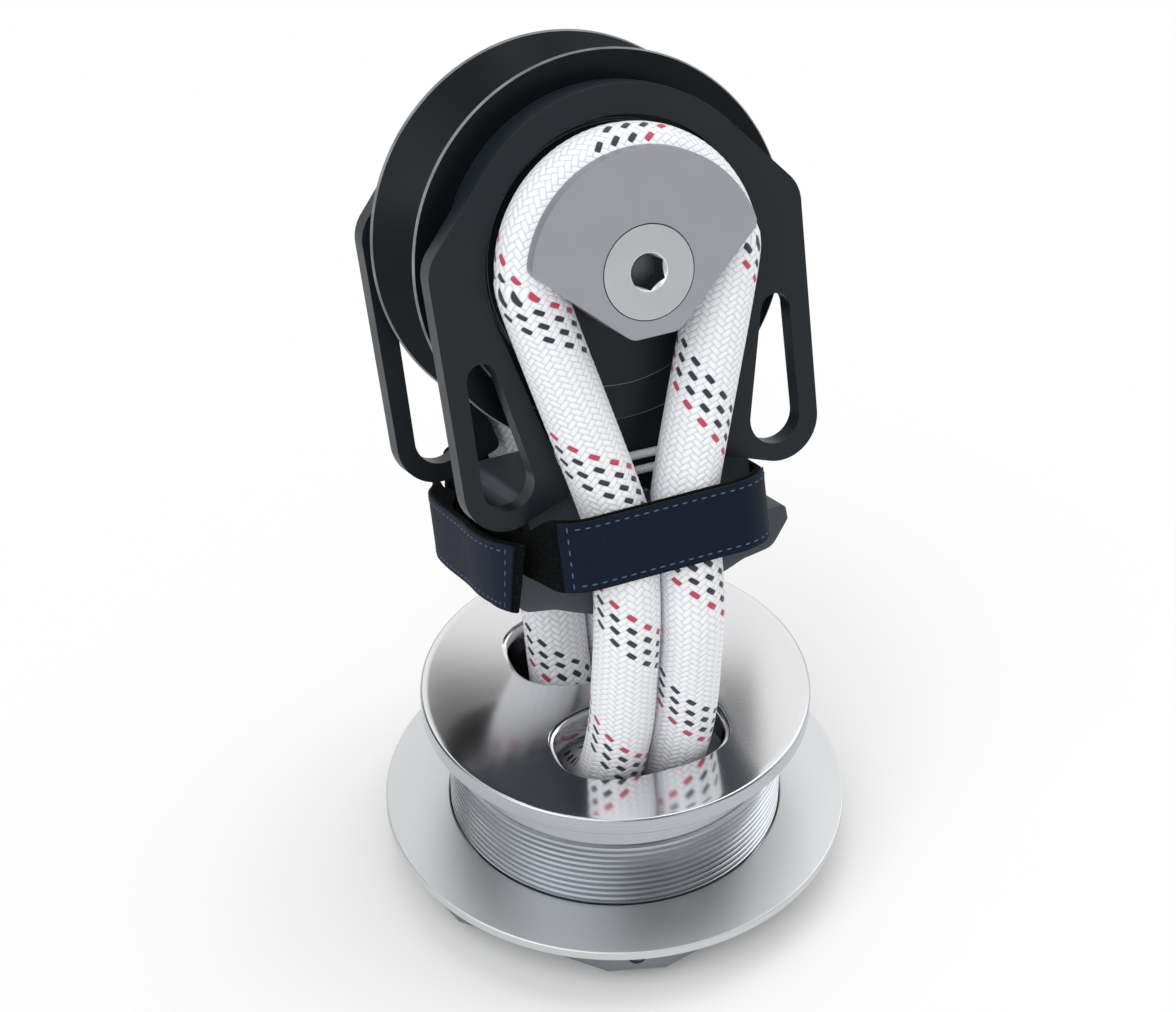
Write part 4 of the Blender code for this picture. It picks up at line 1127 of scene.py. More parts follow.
# The block
@dataclass
class Sheave:
    """Sheave with its bearing."""

    radius: float = 0.0500
    rim_land: float = 0.0012
    rim_edge: float = 0.0004
    highlit_rim_width: float = 0.0005
    groove_radius: float = 0.0096
    groove_centre: float = 0.0476
    groove_half_angle: float = math.radians(50)
    race_bore: float = 0.0300
    race_radius: float = 0.0236
    race_edge: float = 0.0004
    washer_outer: float = 0.0375
    washer_seat: float = 0.0139
    washer_face: float = 0.0156
    washer_thickness: float = 0.0012
    washer_play: float = 0.0005
    washer_edge: float = 0.0002
    screw_bore: float = 0.0063
    roller_radius: float = 0.0029
    roller_half_length: float = 0.0120
    roller_edge: float = 0.0004
    roller_count: int = 14
    roller_circle: float = 0.0268
    cage_wall: float = 0.0030
    cage_half_length: float = 0.0138

    def build(self) -> None:
        """Turn the sheave, race, washers and rollers, and cut the cage."""
        self.wheel()
        face = self.washer_face
        race = soften(collar(self.screw_bore, self.race_radius, -face, face, MEDIUM_STEPS), self.race_edge, 2)
        finished("ground_race", race, SCREW, Body.BLOCK, ["inner_race"], BLOCK_AXES)
        for side in Side:
            washer = collar(self.race_bore + self.washer_play, self.washer_outer,
                            face - self.washer_thickness, face, MEDIUM_STEPS)
            finished(side.named("washer_disc"), soften(washer, self.washer_edge, 2), POLYMER, Body.BLOCK,
                     [side.named("thrust_washer")], side.axes())
        self.cage()

    def wheel(self) -> None:
        """The sheave itself, with its two rims and the groove between them."""
        half, outer, edge = STACK.sheave, self.radius, self.rim_edge
        wall = half - self.rim_land
        seat = self.washer_outer + self.washer_play
        side = [(self.race_bore, self.washer_seat), (seat, self.washer_seat), (seat, half),
                (outer - edge, half), (outer, half - edge), (outer, wall + edge), (outer - edge, wall)]
        groove = arc((self.groove_centre, 0), self.groove_radius, math.pi - self.groove_half_angle,
                     math.pi + self.groove_half_angle)
        wheel = turned([*side, *groove, *[(r, -z) for r, z in reversed(side)]], closed=True)
        layer = wheel.faces.layers.float.new("edge")
        # painted highlight: faces near the rims' outside are marked for the pale edge colour
        for face in wheel.faces:
            face[layer] = float(face.calc_center_median().xy.length > outer - self.highlit_rim_width)
        finished("grooved_sheave", wheel, SMOOTH_BLACK, Body.SHEAVE, ["sheave"], BLOCK_AXES)

    def cage(self) -> None:
        """Roller cage with a window for each roller."""
        half, wall, long = self.cage_half_length, self.cage_wall, self.roller_half_length
        cage = collar(self.roller_circle - wall / 2, self.roller_circle + wall / 2, -half, half,
                      8 * self.roller_count)
        windows = bmesh.new()
        size = (wall * 3, 2 * (self.roller_radius + PLAY), 2 * (long + PLAY))
        for i in range(self.roller_count):
            turn = Matrix.Rotation(2 * math.pi * i / self.roller_count, 4, "Z")
            window = bmesh.ops.create_cube(windows, size=1.0)["verts"]
            bmesh.ops.scale(windows, verts=window, vec=size)
            bmesh.ops.translate(windows, verts=window, vec=(self.roller_circle, 0, 0))
            bmesh.ops.rotate(windows, verts=window, matrix=turn.to_3x3())
            roller = soften(collar(0, self.roller_radius, -long, long, SMALL_STEPS), self.roller_edge, 2)
            finished(f"turned_roller_{i + 1:02d}", roller, POLYMER, Body.ROLLERS, [f"roller_{i + 1:02d}"],
                     BLOCK_AXES @ turn @ Matrix.Translation((self.roller_circle, 0, 0)))
        finished("windowed_cage", carve(cage, [windows]), POLYMER, Body.ROLLERS, ["roller_cage"], BLOCK_AXES)


@dataclass
class SideFrame:
    """Cheek, side plate, rope post, cap and screws of one side of the block."""

    side: Side
    screw_bore: float = 0.0063
    register_radius: float = 0.0334
    plate_radius: float = 0.0425
    plate_edge: float = 0.0003
    tongue_half_width: float = 0.0110
    tongue_end: float = 0.0835
    tongue_round: float = 0.0060
    saddle_screw_rows: tuple[float, float] = (0.0662, 0.0768)
    saddle_screw_radius: float = 0.0025
    saddle_screw_length: float = 0.0100
    saddle_screw_head: float = 0.0045
    saddle_screw_rim: float = 0.0010
    saddle_screw_dome: float = 0.0016
    saddle_socket: Point2 = (0.0017, 0.0015)   # half its flats and its depth
    cheek_top_radius: float = 0.0430
    cheek_top_end: float = math.radians(40)
    cheek_shoulder: Corner = (0.0500, 0.0080, 0.0100)
    cheek_heel: Corner = (0.0480, -0.0660, 0.0110)
    cheek_toe: Corner = (0.0204, -0.0562, 0.0020)
    cheek_edge: float = 0.0005
    arch_radius: float = 0.0355
    arch_end: float = math.radians(-17)
    slot_top: Corner = (0.0398, -0.0220, 0.0040)
    slot_bottom: Corner = (0.0366, -0.0498, 0.0069)
    cheek_screw_circle: float = 0.0388
    cheek_screw_angles: tuple[float, float, float] = (90.0, 192.0, 348.0)
    cheek_screw_radius: float = 0.0015
    cheek_screw_length: float = 0.0080
    cheek_screw_head: float = 0.0028
    cheek_screw_edge: float = 0.0001
    cheek_socket: Point2 = (0.0011, 0.0010)
    post_flare: float = 0.0203
    post_groove: float = 0.0094
    rope_circle: float = 0.0260
    cap_radius: float = 0.0305
    cap_top_end: float = math.radians(18)
    cap_corner: Corner = (0.02995, 0.0058, 0.0030)
    cap_foot: Corner = (0.0062, -0.0160, 0.0040)
    cap_chamfer: float = 0.0015
    head_rim: float = 0.0004
    screw_radius: float = 0.0060
    screw_head: float = 0.01175
    screw_length: float = 0.0390
    screw_edge: float = 0.00025
    socket_flats: float = 0.0080
    socket_depth: float = 0.0060
    socket_chamfer: Point2 = (1.22, 0.0009)    # its reach in half flats and its depth
    socket_margin: float = 1.12                # faces within this many half flats are the socket's and get its painted shade

    def build(self) -> None:
        """Make the side's pieces from the sheave outwards."""
        self.side_plate()
        self.cheek()
        self.cheek_screws()
        self.saddle_screws()
        self.post()
        self.cap()
        self.cap_screw()

    def place(self, name: str, bm: bmesh.types.BMesh, finish: Finish | Sequence[Finish], node: str,
              shift: Matrix = Matrix()) -> None:
        """Finish one of this side's pieces.

        Args:
            name: name of the piece without its side.
            bm: its mesh.
            finish: its finish or finishes.
            node: CAD node that it stands for, without its side.
            shift: place of the mesh's axes in the side's.
        """
        finished(self.side.named(name), bm, finish, Body.BLOCK, [self.side.named(node)],
                 self.side.axes() @ shift)

    def side_plate(self) -> None:
        """Round plate with a register inside the cheek's arch and a tongue down to the saddle."""
        register, w, end = self.register_radius, self.tongue_half_width, self.tongue_end
        wide, bore = self.plate_radius, self.screw_bore
        disc = turned([(bore, STACK.register), (register, STACK.register), (register, STACK.plate_outer),
                       (wide, STACK.plate_outer), (wide, STACK.plate_inner), (bore, STACK.plate_inner)],
                      closed=True)
        soften(disc, self.plate_edge, 2)
        outline = rounded([(w, -register, 0), (w, -end, self.tongue_round), (-w, -end, self.tongue_round),
                           (-w, -register, 0)])
        disc = carve(disc, [plate([outline], STACK.plate_inner, STACK.tongue)], "UNION")
        holes = []
        r = self.saddle_screw_radius + PLAY
        for row in self.saddle_screw_rows:
            hole = bmesh.new()
            bmesh.ops.create_cone(hole, cap_ends=True, segments=48, radius1=r, radius2=r, depth=3 * OVERCUT)
            bmesh.ops.translate(hole, verts=hole.verts, vec=(0, -row, (STACK.plate_inner + STACK.tongue) / 2))
            holes.append(hole)
        self.place("register_plate", carve(disc, holes), BLACK, "side_plate")

    def slot(self, mirror: float) -> Outline:
        """Teardrop slot in one ear of the cheek.

        Args:
            mirror: 1 for the right ear and -1 for the left one.

        Returns:
            The slot's outline.
        """
        top, bottom = self.slot_top, self.slot_bottom
        span = Vector(top[:2]) - Vector(bottom[:2])
        along = math.atan2(span.y, span.x)
        lean = math.acos((bottom[2] - top[2]) / span.length)
        points = arc(top[:2], top[2], along - lean, along + lean)
        points += arc(bottom[:2], bottom[2], along + lean, along + 2 * math.pi - lean)
        return [(mirror * x, y) for x, y in points]

    def cheek(self) -> None:
        """Rounded plate arched round the rope, with a slot in each ear."""
        half = [(x, y, 0) for x, y in arc((0, 0), self.cheek_top_radius, math.pi / 2, self.cheek_top_end)]
        half += [self.cheek_shoulder, self.cheek_heel, self.cheek_toe]
        half += [(x, y, 0) for x, y in arc((0, 0), self.arch_radius, self.arch_end, math.pi / 2)]
        cheek = plate([rounded(mirrored(half)), self.slot(1), self.slot(-1)], STACK.cheek_inner,
                      STACK.cheek_outer)
        self.place("arched_cheek", soften(cheek, self.cheek_edge), BLACK, "cheek")

    def cheek_screws(self) -> None:
        """Countersunk screws from the side plate's inner face into the cheek."""
        face = -STACK.plate_inner - HAIR
        r, head, rim = self.cheek_screw_radius, self.cheek_screw_head, face - self.head_rim
        tip = face - self.cheek_screw_length
        apothem, depth = self.cheek_socket
        outwards = Matrix.Translation((self.cheek_screw_circle, 0, 0)) @ Matrix.Rotation(math.pi, 4, "X")
        for number, angle in enumerate(self.cheek_screw_angles, 1):
            screw = turned([(0, face), (head, face), (head, rim), (r, rim - head + r), (r, tip), (0, tip)],
                           steps=40)
            screw = carve(screw, [self.hexagon(apothem, face - depth, face + SLACK)])
            self.place(f"countersunk_screw_{number}", soften(screw, self.cheek_screw_edge, 2), SCREW,
                       f"cheek_screw_{number}", Matrix.Rotation(math.radians(angle), 4, "Z") @ outwards)

    def saddle_screws(self) -> None:
        """Button screws through the tongue into the saddle."""
        under = STACK.tongue + PLAY
        rim, head, r = under + self.saddle_screw_rim, self.saddle_screw_head, self.saddle_screw_radius
        top, tip = rim + self.saddle_screw_dome, under - self.saddle_screw_length
        apothem, depth = self.saddle_socket
        for number, row in enumerate(self.saddle_screw_rows, 1):
            dome = [(head * math.sin(a), rim + self.saddle_screw_dome * math.cos(a))
                    for a in map(math.radians, range(15, 91, 15))]
            screw = turned([(0, top), *dome, (head, under), (r, under), (r, tip), (0, tip)], steps=48)
            screw = carve(screw, [self.hexagon(apothem, top - depth, top + SLACK)])
            self.place(f"button_screw_{number}", screw, SCREW, f"saddle_screw_{number}",
                       Matrix.Translation((0, -row, 0)))

    def hexagon(self, apothem: float, low: float, high: float) -> bmesh.types.BMesh:
        """Prism that cuts a hexagonal socket.

        Args:
            apothem: half the distance between its flats.
            low: height of its lower end.
            high: height of its upper end.

        Returns:
            The prism's mesh.
        """
        bm = bmesh.new()
        radius = apothem / math.cos(math.pi / 6)
        bmesh.ops.create_cone(bm, cap_ends=True, segments=6, radius1=radius, radius2=radius, depth=high - low)
        bmesh.ops.translate(bm, verts=bm.verts, vec=(0, 0, (low + high) / 2))
        return bm

    def cap_outline(self) -> Outline:
        """Outline of the cap: an arc over two straight flanks down to a blunt foot."""
        half = [(x, y, 0) for x, y in arc((0, 0), self.cap_radius, math.pi / 2, self.cap_top_end)]
        return rounded(mirrored([*half, self.cap_corner, self.cap_foot]))

    def post(self) -> None:
        """Grooved post for the rope's bight, trimmed to the cap's outline."""
        reach = math.acos((self.rope_circle - self.post_flare) / self.post_groove)
        profile = [(self.screw_bore, STACK.post_outer), (self.post_flare, STACK.post_outer)]
        profile += arc((self.rope_circle, STACK.rope), self.post_groove, math.pi - reach, math.pi + reach)
        profile += [(self.post_flare, STACK.post_inner), (self.screw_bore, STACK.post_inner)]
        trim = plate([self.cap_outline()], STACK.post_inner - 5 * OVERCUT,
                     STACK.post_outer + 5 * OVERCUT)
        post = carve(turned(profile, MEDIUM_STEPS, True), [trim], "INTERSECT")
        self.place("grooved_post", post, GREY, "rope_post")

    def screw_seat(self, gap: float) -> bmesh.types.BMesh:
        """Countersunk screw, or the seat that it sinks into.

        Args:
            gap: how much wider the seat is; 0 for the screw.

        Returns:
            The screw's or seat's mesh.
        """
        top, head, r = STACK.cap_outer, self.screw_head + gap, self.screw_radius + gap
        below, tip, mouth = top - self.head_rim, top - self.screw_length - gap, top + 2 * gap
        return turned([(0, mouth), (head, mouth), (head, below), (r, below - head + r), (r, tip), (0, tip)],
                      MEDIUM_STEPS)

    def cap(self) -> None:
        """Keeper plate over the post, with a chamfered edge and the screw's seat."""
        cap = soften(plate([self.cap_outline()], STACK.cap_inner, STACK.cap_outer), self.cap_chamfer, 1)
        self.place("keeper_cap", carve(cap, [self.screw_seat(PLAY)]), GREY, "cap")

    def cap_screw(self) -> None:
        """Countersunk socket screw into the hollow axle."""
        top, mouth = STACK.cap_outer, self.socket_flats / 2
        reach, low = mouth * self.socket_chamfer[0], top - self.socket_chamfer[1]
        chamfer = turned([(0, top + SLACK), (reach, top + SLACK), (reach, top), (mouth, low), (0, low)],
                         steps=64)
        socket = self.hexagon(mouth, top - self.socket_depth, top + OVERCUT)
        screw = carve(self.screw_seat(0.0), [socket, chamfer])
        soften(screw, self.screw_edge, 2, lambda e: all(v.co.z > top - SLACK for v in e.verts))
        # painted shade: the socket's inner faces take the darker socket colour
        for face in screw.faces:
            middle = face.calc_center_median()
            face.material_index = int(middle.xy.length < mouth * self.socket_margin and middle.z < low)
        self.place("socket_screw", screw, [SCREW, SHADED_SOCKET], "cap_screw")


@dataclass
class Saddle:
    """Block below the cheeks, waisted for the strap."""

    top: float = 0.0585
    top_round: float = 0.0030
    belt: float = 0.0306
    ledge: float = 0.0758
    ledge_round: float = 0.0010
    foot: tuple[Corner, ...] = ((0.0395, -0.0758, 0.0012), (0.0398, -0.0797, 0.0014),
                                (0.0345, -0.0862, 0.0050), (0.0262, -0.0876, 0.0060),
                                (0.0120, -0.0946, 0.0080))
    bottom: float = 0.0952
    half_width: float = 0.0400
    half_thickness: float = 0.0203
    skirt_round: float = 0.0110
    tongue_half_width: float = 0.0115
    tongue_end: float = 0.0840

    def build(self) -> None:
        """Cut the saddle's outline both ways and let the tongues into it."""
        half = [(0, -self.top, 0), (self.belt, -self.top, self.top_round),
                (self.belt, -self.ledge, self.ledge_round), *self.foot, (0, -self.bottom, 0)]
        wide, low, high = self.half_thickness, -self.bottom, SLACK - self.top
        body = plate([rounded(mirrored(half))], -wide, wide)
        skirt = rounded([(wide, high, 0), (wide, low, self.skirt_round), (-wide, low, self.skirt_round),
                         (-wide, high, 0)])
        envelope = plate([skirt], -self.half_width - SLACK, self.half_width + SLACK)
        bmesh.ops.rotate(envelope, verts=envelope.verts, matrix=Matrix.Rotation(-math.pi / 2, 3, "Y"))
        body = carve(body, [envelope], "INTERSECT")
        w, end = self.tongue_half_width, -self.tongue_end
        cutters = []
        for turn in (0, math.pi):
            recess = plate([[(-w, end), (w, end), (w, high), (-w, high)]], STACK.plate_inner - PLAY,
                           wide + SLACK)
            bmesh.ops.rotate(recess, verts=recess.verts, matrix=Matrix.Rotation(turn, 3, "Y"))
            cutters.append(recess)
        body = carve(body, cutters)
        bmesh.ops.dissolve_limit(body, angle_limit=math.radians(0.5), verts=body.verts, edges=body.edges)
        finished("waisted_saddle", body, DARK_GREY, Body.BLOCK, ["base_saddle"], BLOCK_AXES)


# Rope, cord and strap
@dataclass
class Rope:
    """Endless loop: over the front post, under the bridge bar, over the rear post and back.

    The bights are in the block's axes, the legs in the row frame.
    """

    radius: float = 0.0085
    circle: float = 0.0260
    leaves: float = math.radians(-17)
    spread: Point2 = (-0.0120, 0.0082)
    spread_depth: float = 0.0600
    feet: Point2 = (-0.0106, 0.0068)
    foot_depths: Point2 = (0.0720, 0.0800)
    pair: float = 0.0087
    front_legs: tuple[Corner, ...] = ((0.0028, -0.0249, 0.0980), (0.0024, -0.0245, 0.0810),
                                      (0.0020, -0.0233, 0.0640), (0.0010, -0.0198, 0.0470),
                                      (0.0003, -0.0140, 0.0354))
    rear_legs: tuple[Corner, ...] = ((-0.0006, 0.0296, 0.0775), (-0.0004, 0.0245, 0.0630),
                                     (-0.0002, 0.0205, 0.0490), (-0.0001, 0.0143, 0.0356))
    under_bar: Corner = (0.0, 0.0, 0.0300)
    yarns: int = 24            # each way round the cover
    turns: int = 19            # times that a yarn goes round in the whole loop
    first_yarn: float = -1.3   # so that the marker yarns come where the photo has them
    rings_per_yarn: int = 2
    dome: float = 0.00014      # how far each crossing stands out

    def bight(self, face: float) -> list[Vector]:
        """Over one post from the right leg's foot to the left leg's foot.

        Args:
            face: 1 for the front post and -1 for the rear one.

        Returns:
            Points in the row frame.
        """
        level = face * STACK.rope
        points = [(self.feet[1], -y, level) for y in reversed(self.foot_depths)]
        points += [(self.spread[1], -self.spread_depth, level)]
        points += [(x, y, level) for x, y in arc((0, 0), self.circle, self.leaves, math.pi - self.leaves,
                                                 math.radians(22))]
        points += [(self.spread[0], -self.spread_depth, level)]
        points += [(self.feet[0], -y, level) for y in self.foot_depths]
        return [BLOCK_AXES @ Vector(p) for p in points]

    def strand(self, points: Sequence[Corner], side: int) -> list[Vector]:
        """One strand of a pair that stands side by side."""
        return [Vector((x + side * self.pair, y, z)) for x, y, z in points]

    def float_height(self, left: float, right: float) -> float:
        """Height of the braid at a spot, two over and two under as in the finish.

        Args:
            left: count of the yarns that run to the left.
            right: count of the yarns that run to the right.

        Returns:
            The height from 0 to 1.
        """
        crossing = math.floor(left) + math.floor(right)
        run, across = (left % 1, right % 1) if crossing % 4 < 2 else (right % 1, left % 1)
        return math.sqrt(abs(math.sin(math.pi * (crossing % 2 + run) / 2) * math.sin(math.pi * across)))

    def build(self) -> None:
        """Sweep the loop, raise its floats and take it off the block's body, fixed in the row frame."""
        loop = self.bight(1) + self.strand([*self.front_legs, self.under_bar], -1)
        loop += self.strand(self.rear_legs, -1)[::-1] + self.bight(-1)[::-1] + self.strand(self.rear_legs, 1)
        loop += self.strand([self.under_bar], 1) + self.strand(self.front_legs, 1)[::-1]
        steps = self.yarns * self.turns
        route = smooth_route(loop, True, steps * self.rings_per_yarn)
        bm = tube(route, self.radius - self.dome / 2, True, self.yarns, (steps, self.yarns), self.first_yarn)
        uv = bm.loops.layers.uv.active
        moves = []
        for vert in bm.verts:
            along, across = vert.link_loops[0][uv].uv
            moves.append(vert.normal * self.dome * (self.float_height(across - along, across + along) - 0.5))
        for vert, move in zip(bm.verts, moves):
            vert.co += move
        piece = finished("braided_loop", bm, BRAID, Body.BLOCK, ["rope_loop"])
        piece.parent = None
        del piece["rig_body"]
        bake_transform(piece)


@dataclass
class TieCord:
    """Thin lashing round the side plates' tongues, a turn and a third.

    Its points are (x, z) in the block's axes, once round.
    """

    radius: float = 0.0011
    pitch: float = 0.0040
    start: float = 0.0524
    lead: int = 2
    steps: int = 260
    cells: Point2 = (180.0, 6.0)
    round_it: tuple[Point2, ...] = ((-0.0140, 0.0201), (0.0, 0.0201), (0.0140, 0.0201), (0.0220, 0.0150),
                                    (0.0260, 0.0), (0.0220, -0.0150), (0.0140, -0.0201), (0.0, -0.0201),
                                    (-0.0140, -0.0201), (-0.0168, -0.0150), (-0.0180, 0.0), (-0.0168, 0.0150))

    def build(self) -> None:
        """Sweep the lashing."""
        count = len(self.round_it)
        route = []
        for k in range(-self.lead, count + self.lead + 1):
            x, z = self.round_it[k % count]
            route.append(BLOCK_AXES @ Vector((x, -self.start - self.pitch * k / count, z)))
        bm = tube(smooth_route(route, False, self.steps), self.radius, False, 8, self.cells)
        finished("lashing", bm, CORD, Body.BLOCK, ["tie_cord"])


@dataclass
class Strap:
    """Hook-and-loop strap round the legs and the saddle, and its loose tail.

    Navy webbing is sewn on a black pile lining, which shows past its edges and bare on the left. Plans
    are (right, back) and heights are along the block's y. The tail's points run from the band's left
    front to its free end, as (right, front).
    """

    thickness: float = 0.0018
    lining: float = 0.0010
    lining_edge: float = 0.0003
    webbing_edge: float = 0.0002
    inset: float = 0.0005
    belt: Point2 = (-0.0752, -0.0627)      # edges in the saddle's groove
    front: Point2 = (-0.0773, -0.0583)     # edges over the legs
    left_corners: tuple[Point2, Point2] = ((0.0270, 0.0393), (0.0336, 0.0260))
    right_corners: tuple[Point2, Point2] = ((0.0235, 0.0393), (0.0312, 0.0230))
    corner: float = 0.0100
    side: float = 0.0260
    spread_run: float = 0.0093
    bare_from: float = -0.0300             # the band's lining is bare further left
    tail_edges: Point2 = (-0.0820, -0.0636)
    tail: tuple[Point2, ...] = ((-0.0363, -0.0300), (-0.0376, -0.0266), (-0.0407, -0.0215),
                                (-0.0418, -0.0120), (-0.0420, 0.0030), (-0.0426, 0.0130), (-0.0418, 0.0220),
                                (-0.0390, 0.0300), (-0.0369, 0.0330))
    tail_steps: int = 48
    bare_steps: int = 2                    # of the lining at the free end
    tail_slant: float = 0.0045             # how far the free end's lower corner is drawn back
    slant_reach: float = 0.0140
    fold: float = 0.0048                   # bulge of the lining that fills the tail's bend
    fold_share: float = 0.42
    stitch_length: float = 0.0015
    stitch_pitch: float = 0.0026
    stitch_radius: float = 0.00022
    stitch_margin: float = 0.0021

    def ring(self, grow: float) -> Outline:
        """Plan of the band.

        Args:
            grow: how far it is grown outwards.

        Returns:
            The closed outline, its front at negative y.
        """
        plan = []
        for way, (shoulder, hip) in ((1, self.right_corners), (-1, self.left_corners)):
            quarter = [(shoulder[0] + grow, shoulder[1] + grow), (hip[0] + grow, hip[1])]
            half = [(way * x, y) for x, y in quarter] + [(way * x, -y) for x, y in reversed(quarter)]
            plan += [(x, y, self.corner + grow) for x, y in half[::way]]
        return rounded(plan)

    def band_height(self, spot: Point2, share: float) -> float:
        """Height of the band, whose edges spread over the legs at the front and rear.

        Args:
            spot: place in the plan.
            share: 0 for the lower edge and 1 for the upper one.

        Returns:
            The height there.
        """
        t = min(1.0, max(0.0, (abs(spot[1]) - self.side) / self.spread_run))
        t *= t * (3 - 2 * t)
        low, high = (b + t * (f - b) for b, f in zip(self.belt, self.front))
        return low + share * (high - low)

    def tail_height(self, spot: Point2, share: float) -> float:
        """Height of the tail's edges."""
        return self.tail_edges[0] + share * (self.tail_edges[1] - self.tail_edges[0])

    def narrowed(self, height: Callable[[Point2, float], float]) -> Callable[[Point2, float], float]:
        """The same heights drawn in from both edges, for the webbing."""
        return lambda spot, share: height(spot, share) + self.inset * (1 - 2 * share)

    def stitches(self, route: Outline, height: Callable[[Point2, float], float]) -> bmesh.types.BMesh:
        """Dashes of thread along both edges of the webbing and across its two ends.

        Args:
            route: plan of the webbing's outer face.
            height: height of its edges.

        Returns:
            The stitches' mesh.
        """
        bm = bmesh.new()
        bm.loops.layers.uv.new("UVMap")
        points = [Vector(p) for p in route]
        length = sum((b - a).length for a, b in zip(points, points[1:]))
        spots = even_spots(points, int(length / self.stitch_pitch))
        for k, (spot, along) in enumerate(spots[1:-1]):
            turn = Matrix.Rotation(math.atan2(along.y, along.x), 4, "Z")
            low, high = (height(tuple(spot), share) for share in (0, 1))
            rows = [low + self.stitch_margin, high - self.stitch_margin]
            upright = k in (0, len(spots) - 3)
            if upright:
                count = int((rows[1] - rows[0]) / self.stitch_pitch)
                rows = [rows[0] + (rows[1] - rows[0]) * i / count for i in range(count + 1)]
            for z in rows:
                made = bmesh.ops.create_uvsphere(bm, u_segments=8, v_segments=6, radius=1.0)["verts"]
                size = (self.stitch_length / 2, self.stitch_radius, self.stitch_radius)
                bmesh.ops.scale(bm, verts=made, vec=size)
                if upright:
                    bmesh.ops.rotate(bm, verts=made, matrix=Matrix.Rotation(math.pi / 2, 3, "Y"))
                bmesh.ops.transform(bm, verts=made, matrix=Matrix.Translation((*spot, z)) @ turn)
        return bm

    def slanted(self, bm: bmesh.types.BMesh, end: Vector, along: Vector) -> bmesh.types.BMesh:
        """Draw the tail's lower corner back, so that its free end is slanted.

        Args:
            bm: mesh of one of the tail's layers.
            end: place of the free end in the plan.
            along: the tail's direction there.

        Returns:
            The same mesh.
        """
        low, high = self.tail_edges
        for vert in bm.verts:
            near = 1 - (end - vert.co.xy).dot(along) / self.slant_reach
            if near > 0:
                vert.co.xy -= along * (self.tail_slant * min(near, 1.0) * (high - vert.co.z) / (high - low))
        return bm

    def layers(self, faces: Sequence[Outline], covered: Sequence[Outline], closed: bool,
               height: Callable[[Point2, float], float]) -> list[bmesh.types.BMesh]:
        """Webbing, lining and stitches of one length of strap.

        Args:
            faces: plans of the lining's inner and outer face.
            covered: plans of the webbing's inner and outer face.
            closed: whether the lining joins up.
            height: height of the lining's edges.

        Returns:
            The three meshes.
        """
        pile = soften(tape(*faces, closed, height), self.lining_edge, 2)
        cover = soften(tape(*covered, False, self.narrowed(height)), self.webbing_edge, 2)
        return [cover, pile, self.stitches(covered[1], height)]

    def sewn(self, name: str, node: str, pieces: Sequence[bmesh.types.BMesh]) -> None:
        """Finish one length of strap.

        Args:
            name: name of its webbing, which the names of its other layers start with.
            node: CAD node that the layers stand for.
            pieces: meshes of its webbing, lining and stitches.
        """
        upright = BLOCK_AXES @ Matrix.Rotation(-math.pi / 2, 4, "X")
        for ending, bm, finish in zip(("", "_lining", "_stitching"), pieces, (NAVY, LINING, THREAD)):
            finished(name + ending, bm, finish, Body.BLOCK, [node], upright)

    def build(self) -> None:
        """Make the band and the tail."""
        rings = [self.ring(grow) for grow in (0.0, self.lining, self.thickness)]
        bare = [k for k, (x, y) in enumerate(rings[2]) if x < self.bare_from and y < 0]
        order = [*range(bare[-1] + 1, len(rings[2])), *range(bare[0])]
        covered = [[ring[k] for k in order] for ring in rings[1:]]
        self.sewn("strap_loop", "strap_band", self.layers(rings[:2], covered, True, self.band_height))
        route = smooth_route([Vector((x, -y, 0)) for x, y in self.tail], False, self.tail_steps)
        faces = ([], [], [])
        for i, p in enumerate(route):
            along = (route[min(i + 1, len(route) - 1)] - route[max(i - 1, 0)]).normalized()
            outwards = Vector((along.y, -along.x))
            folded = self.fold * math.sin(math.pi * min(1.0, i / self.tail_steps / self.fold_share)) ** 2
            inside = -self.thickness / 2
            for face, reach in zip(faces, (inside - folded, inside + self.lining, -inside)):
                face.append(tuple(p.xy + outwards * reach))
        covered = [face[:-self.bare_steps] for face in faces[1:]]
        pieces = self.layers(faces[:2], covered, False, self.tail_height)
        along = (route[-1] - route[-2]).normalized().xy
        self.sewn("strap_end", "strap_tail", [self.slanted(bm, route[-1].xy, along) for bm in pieces])


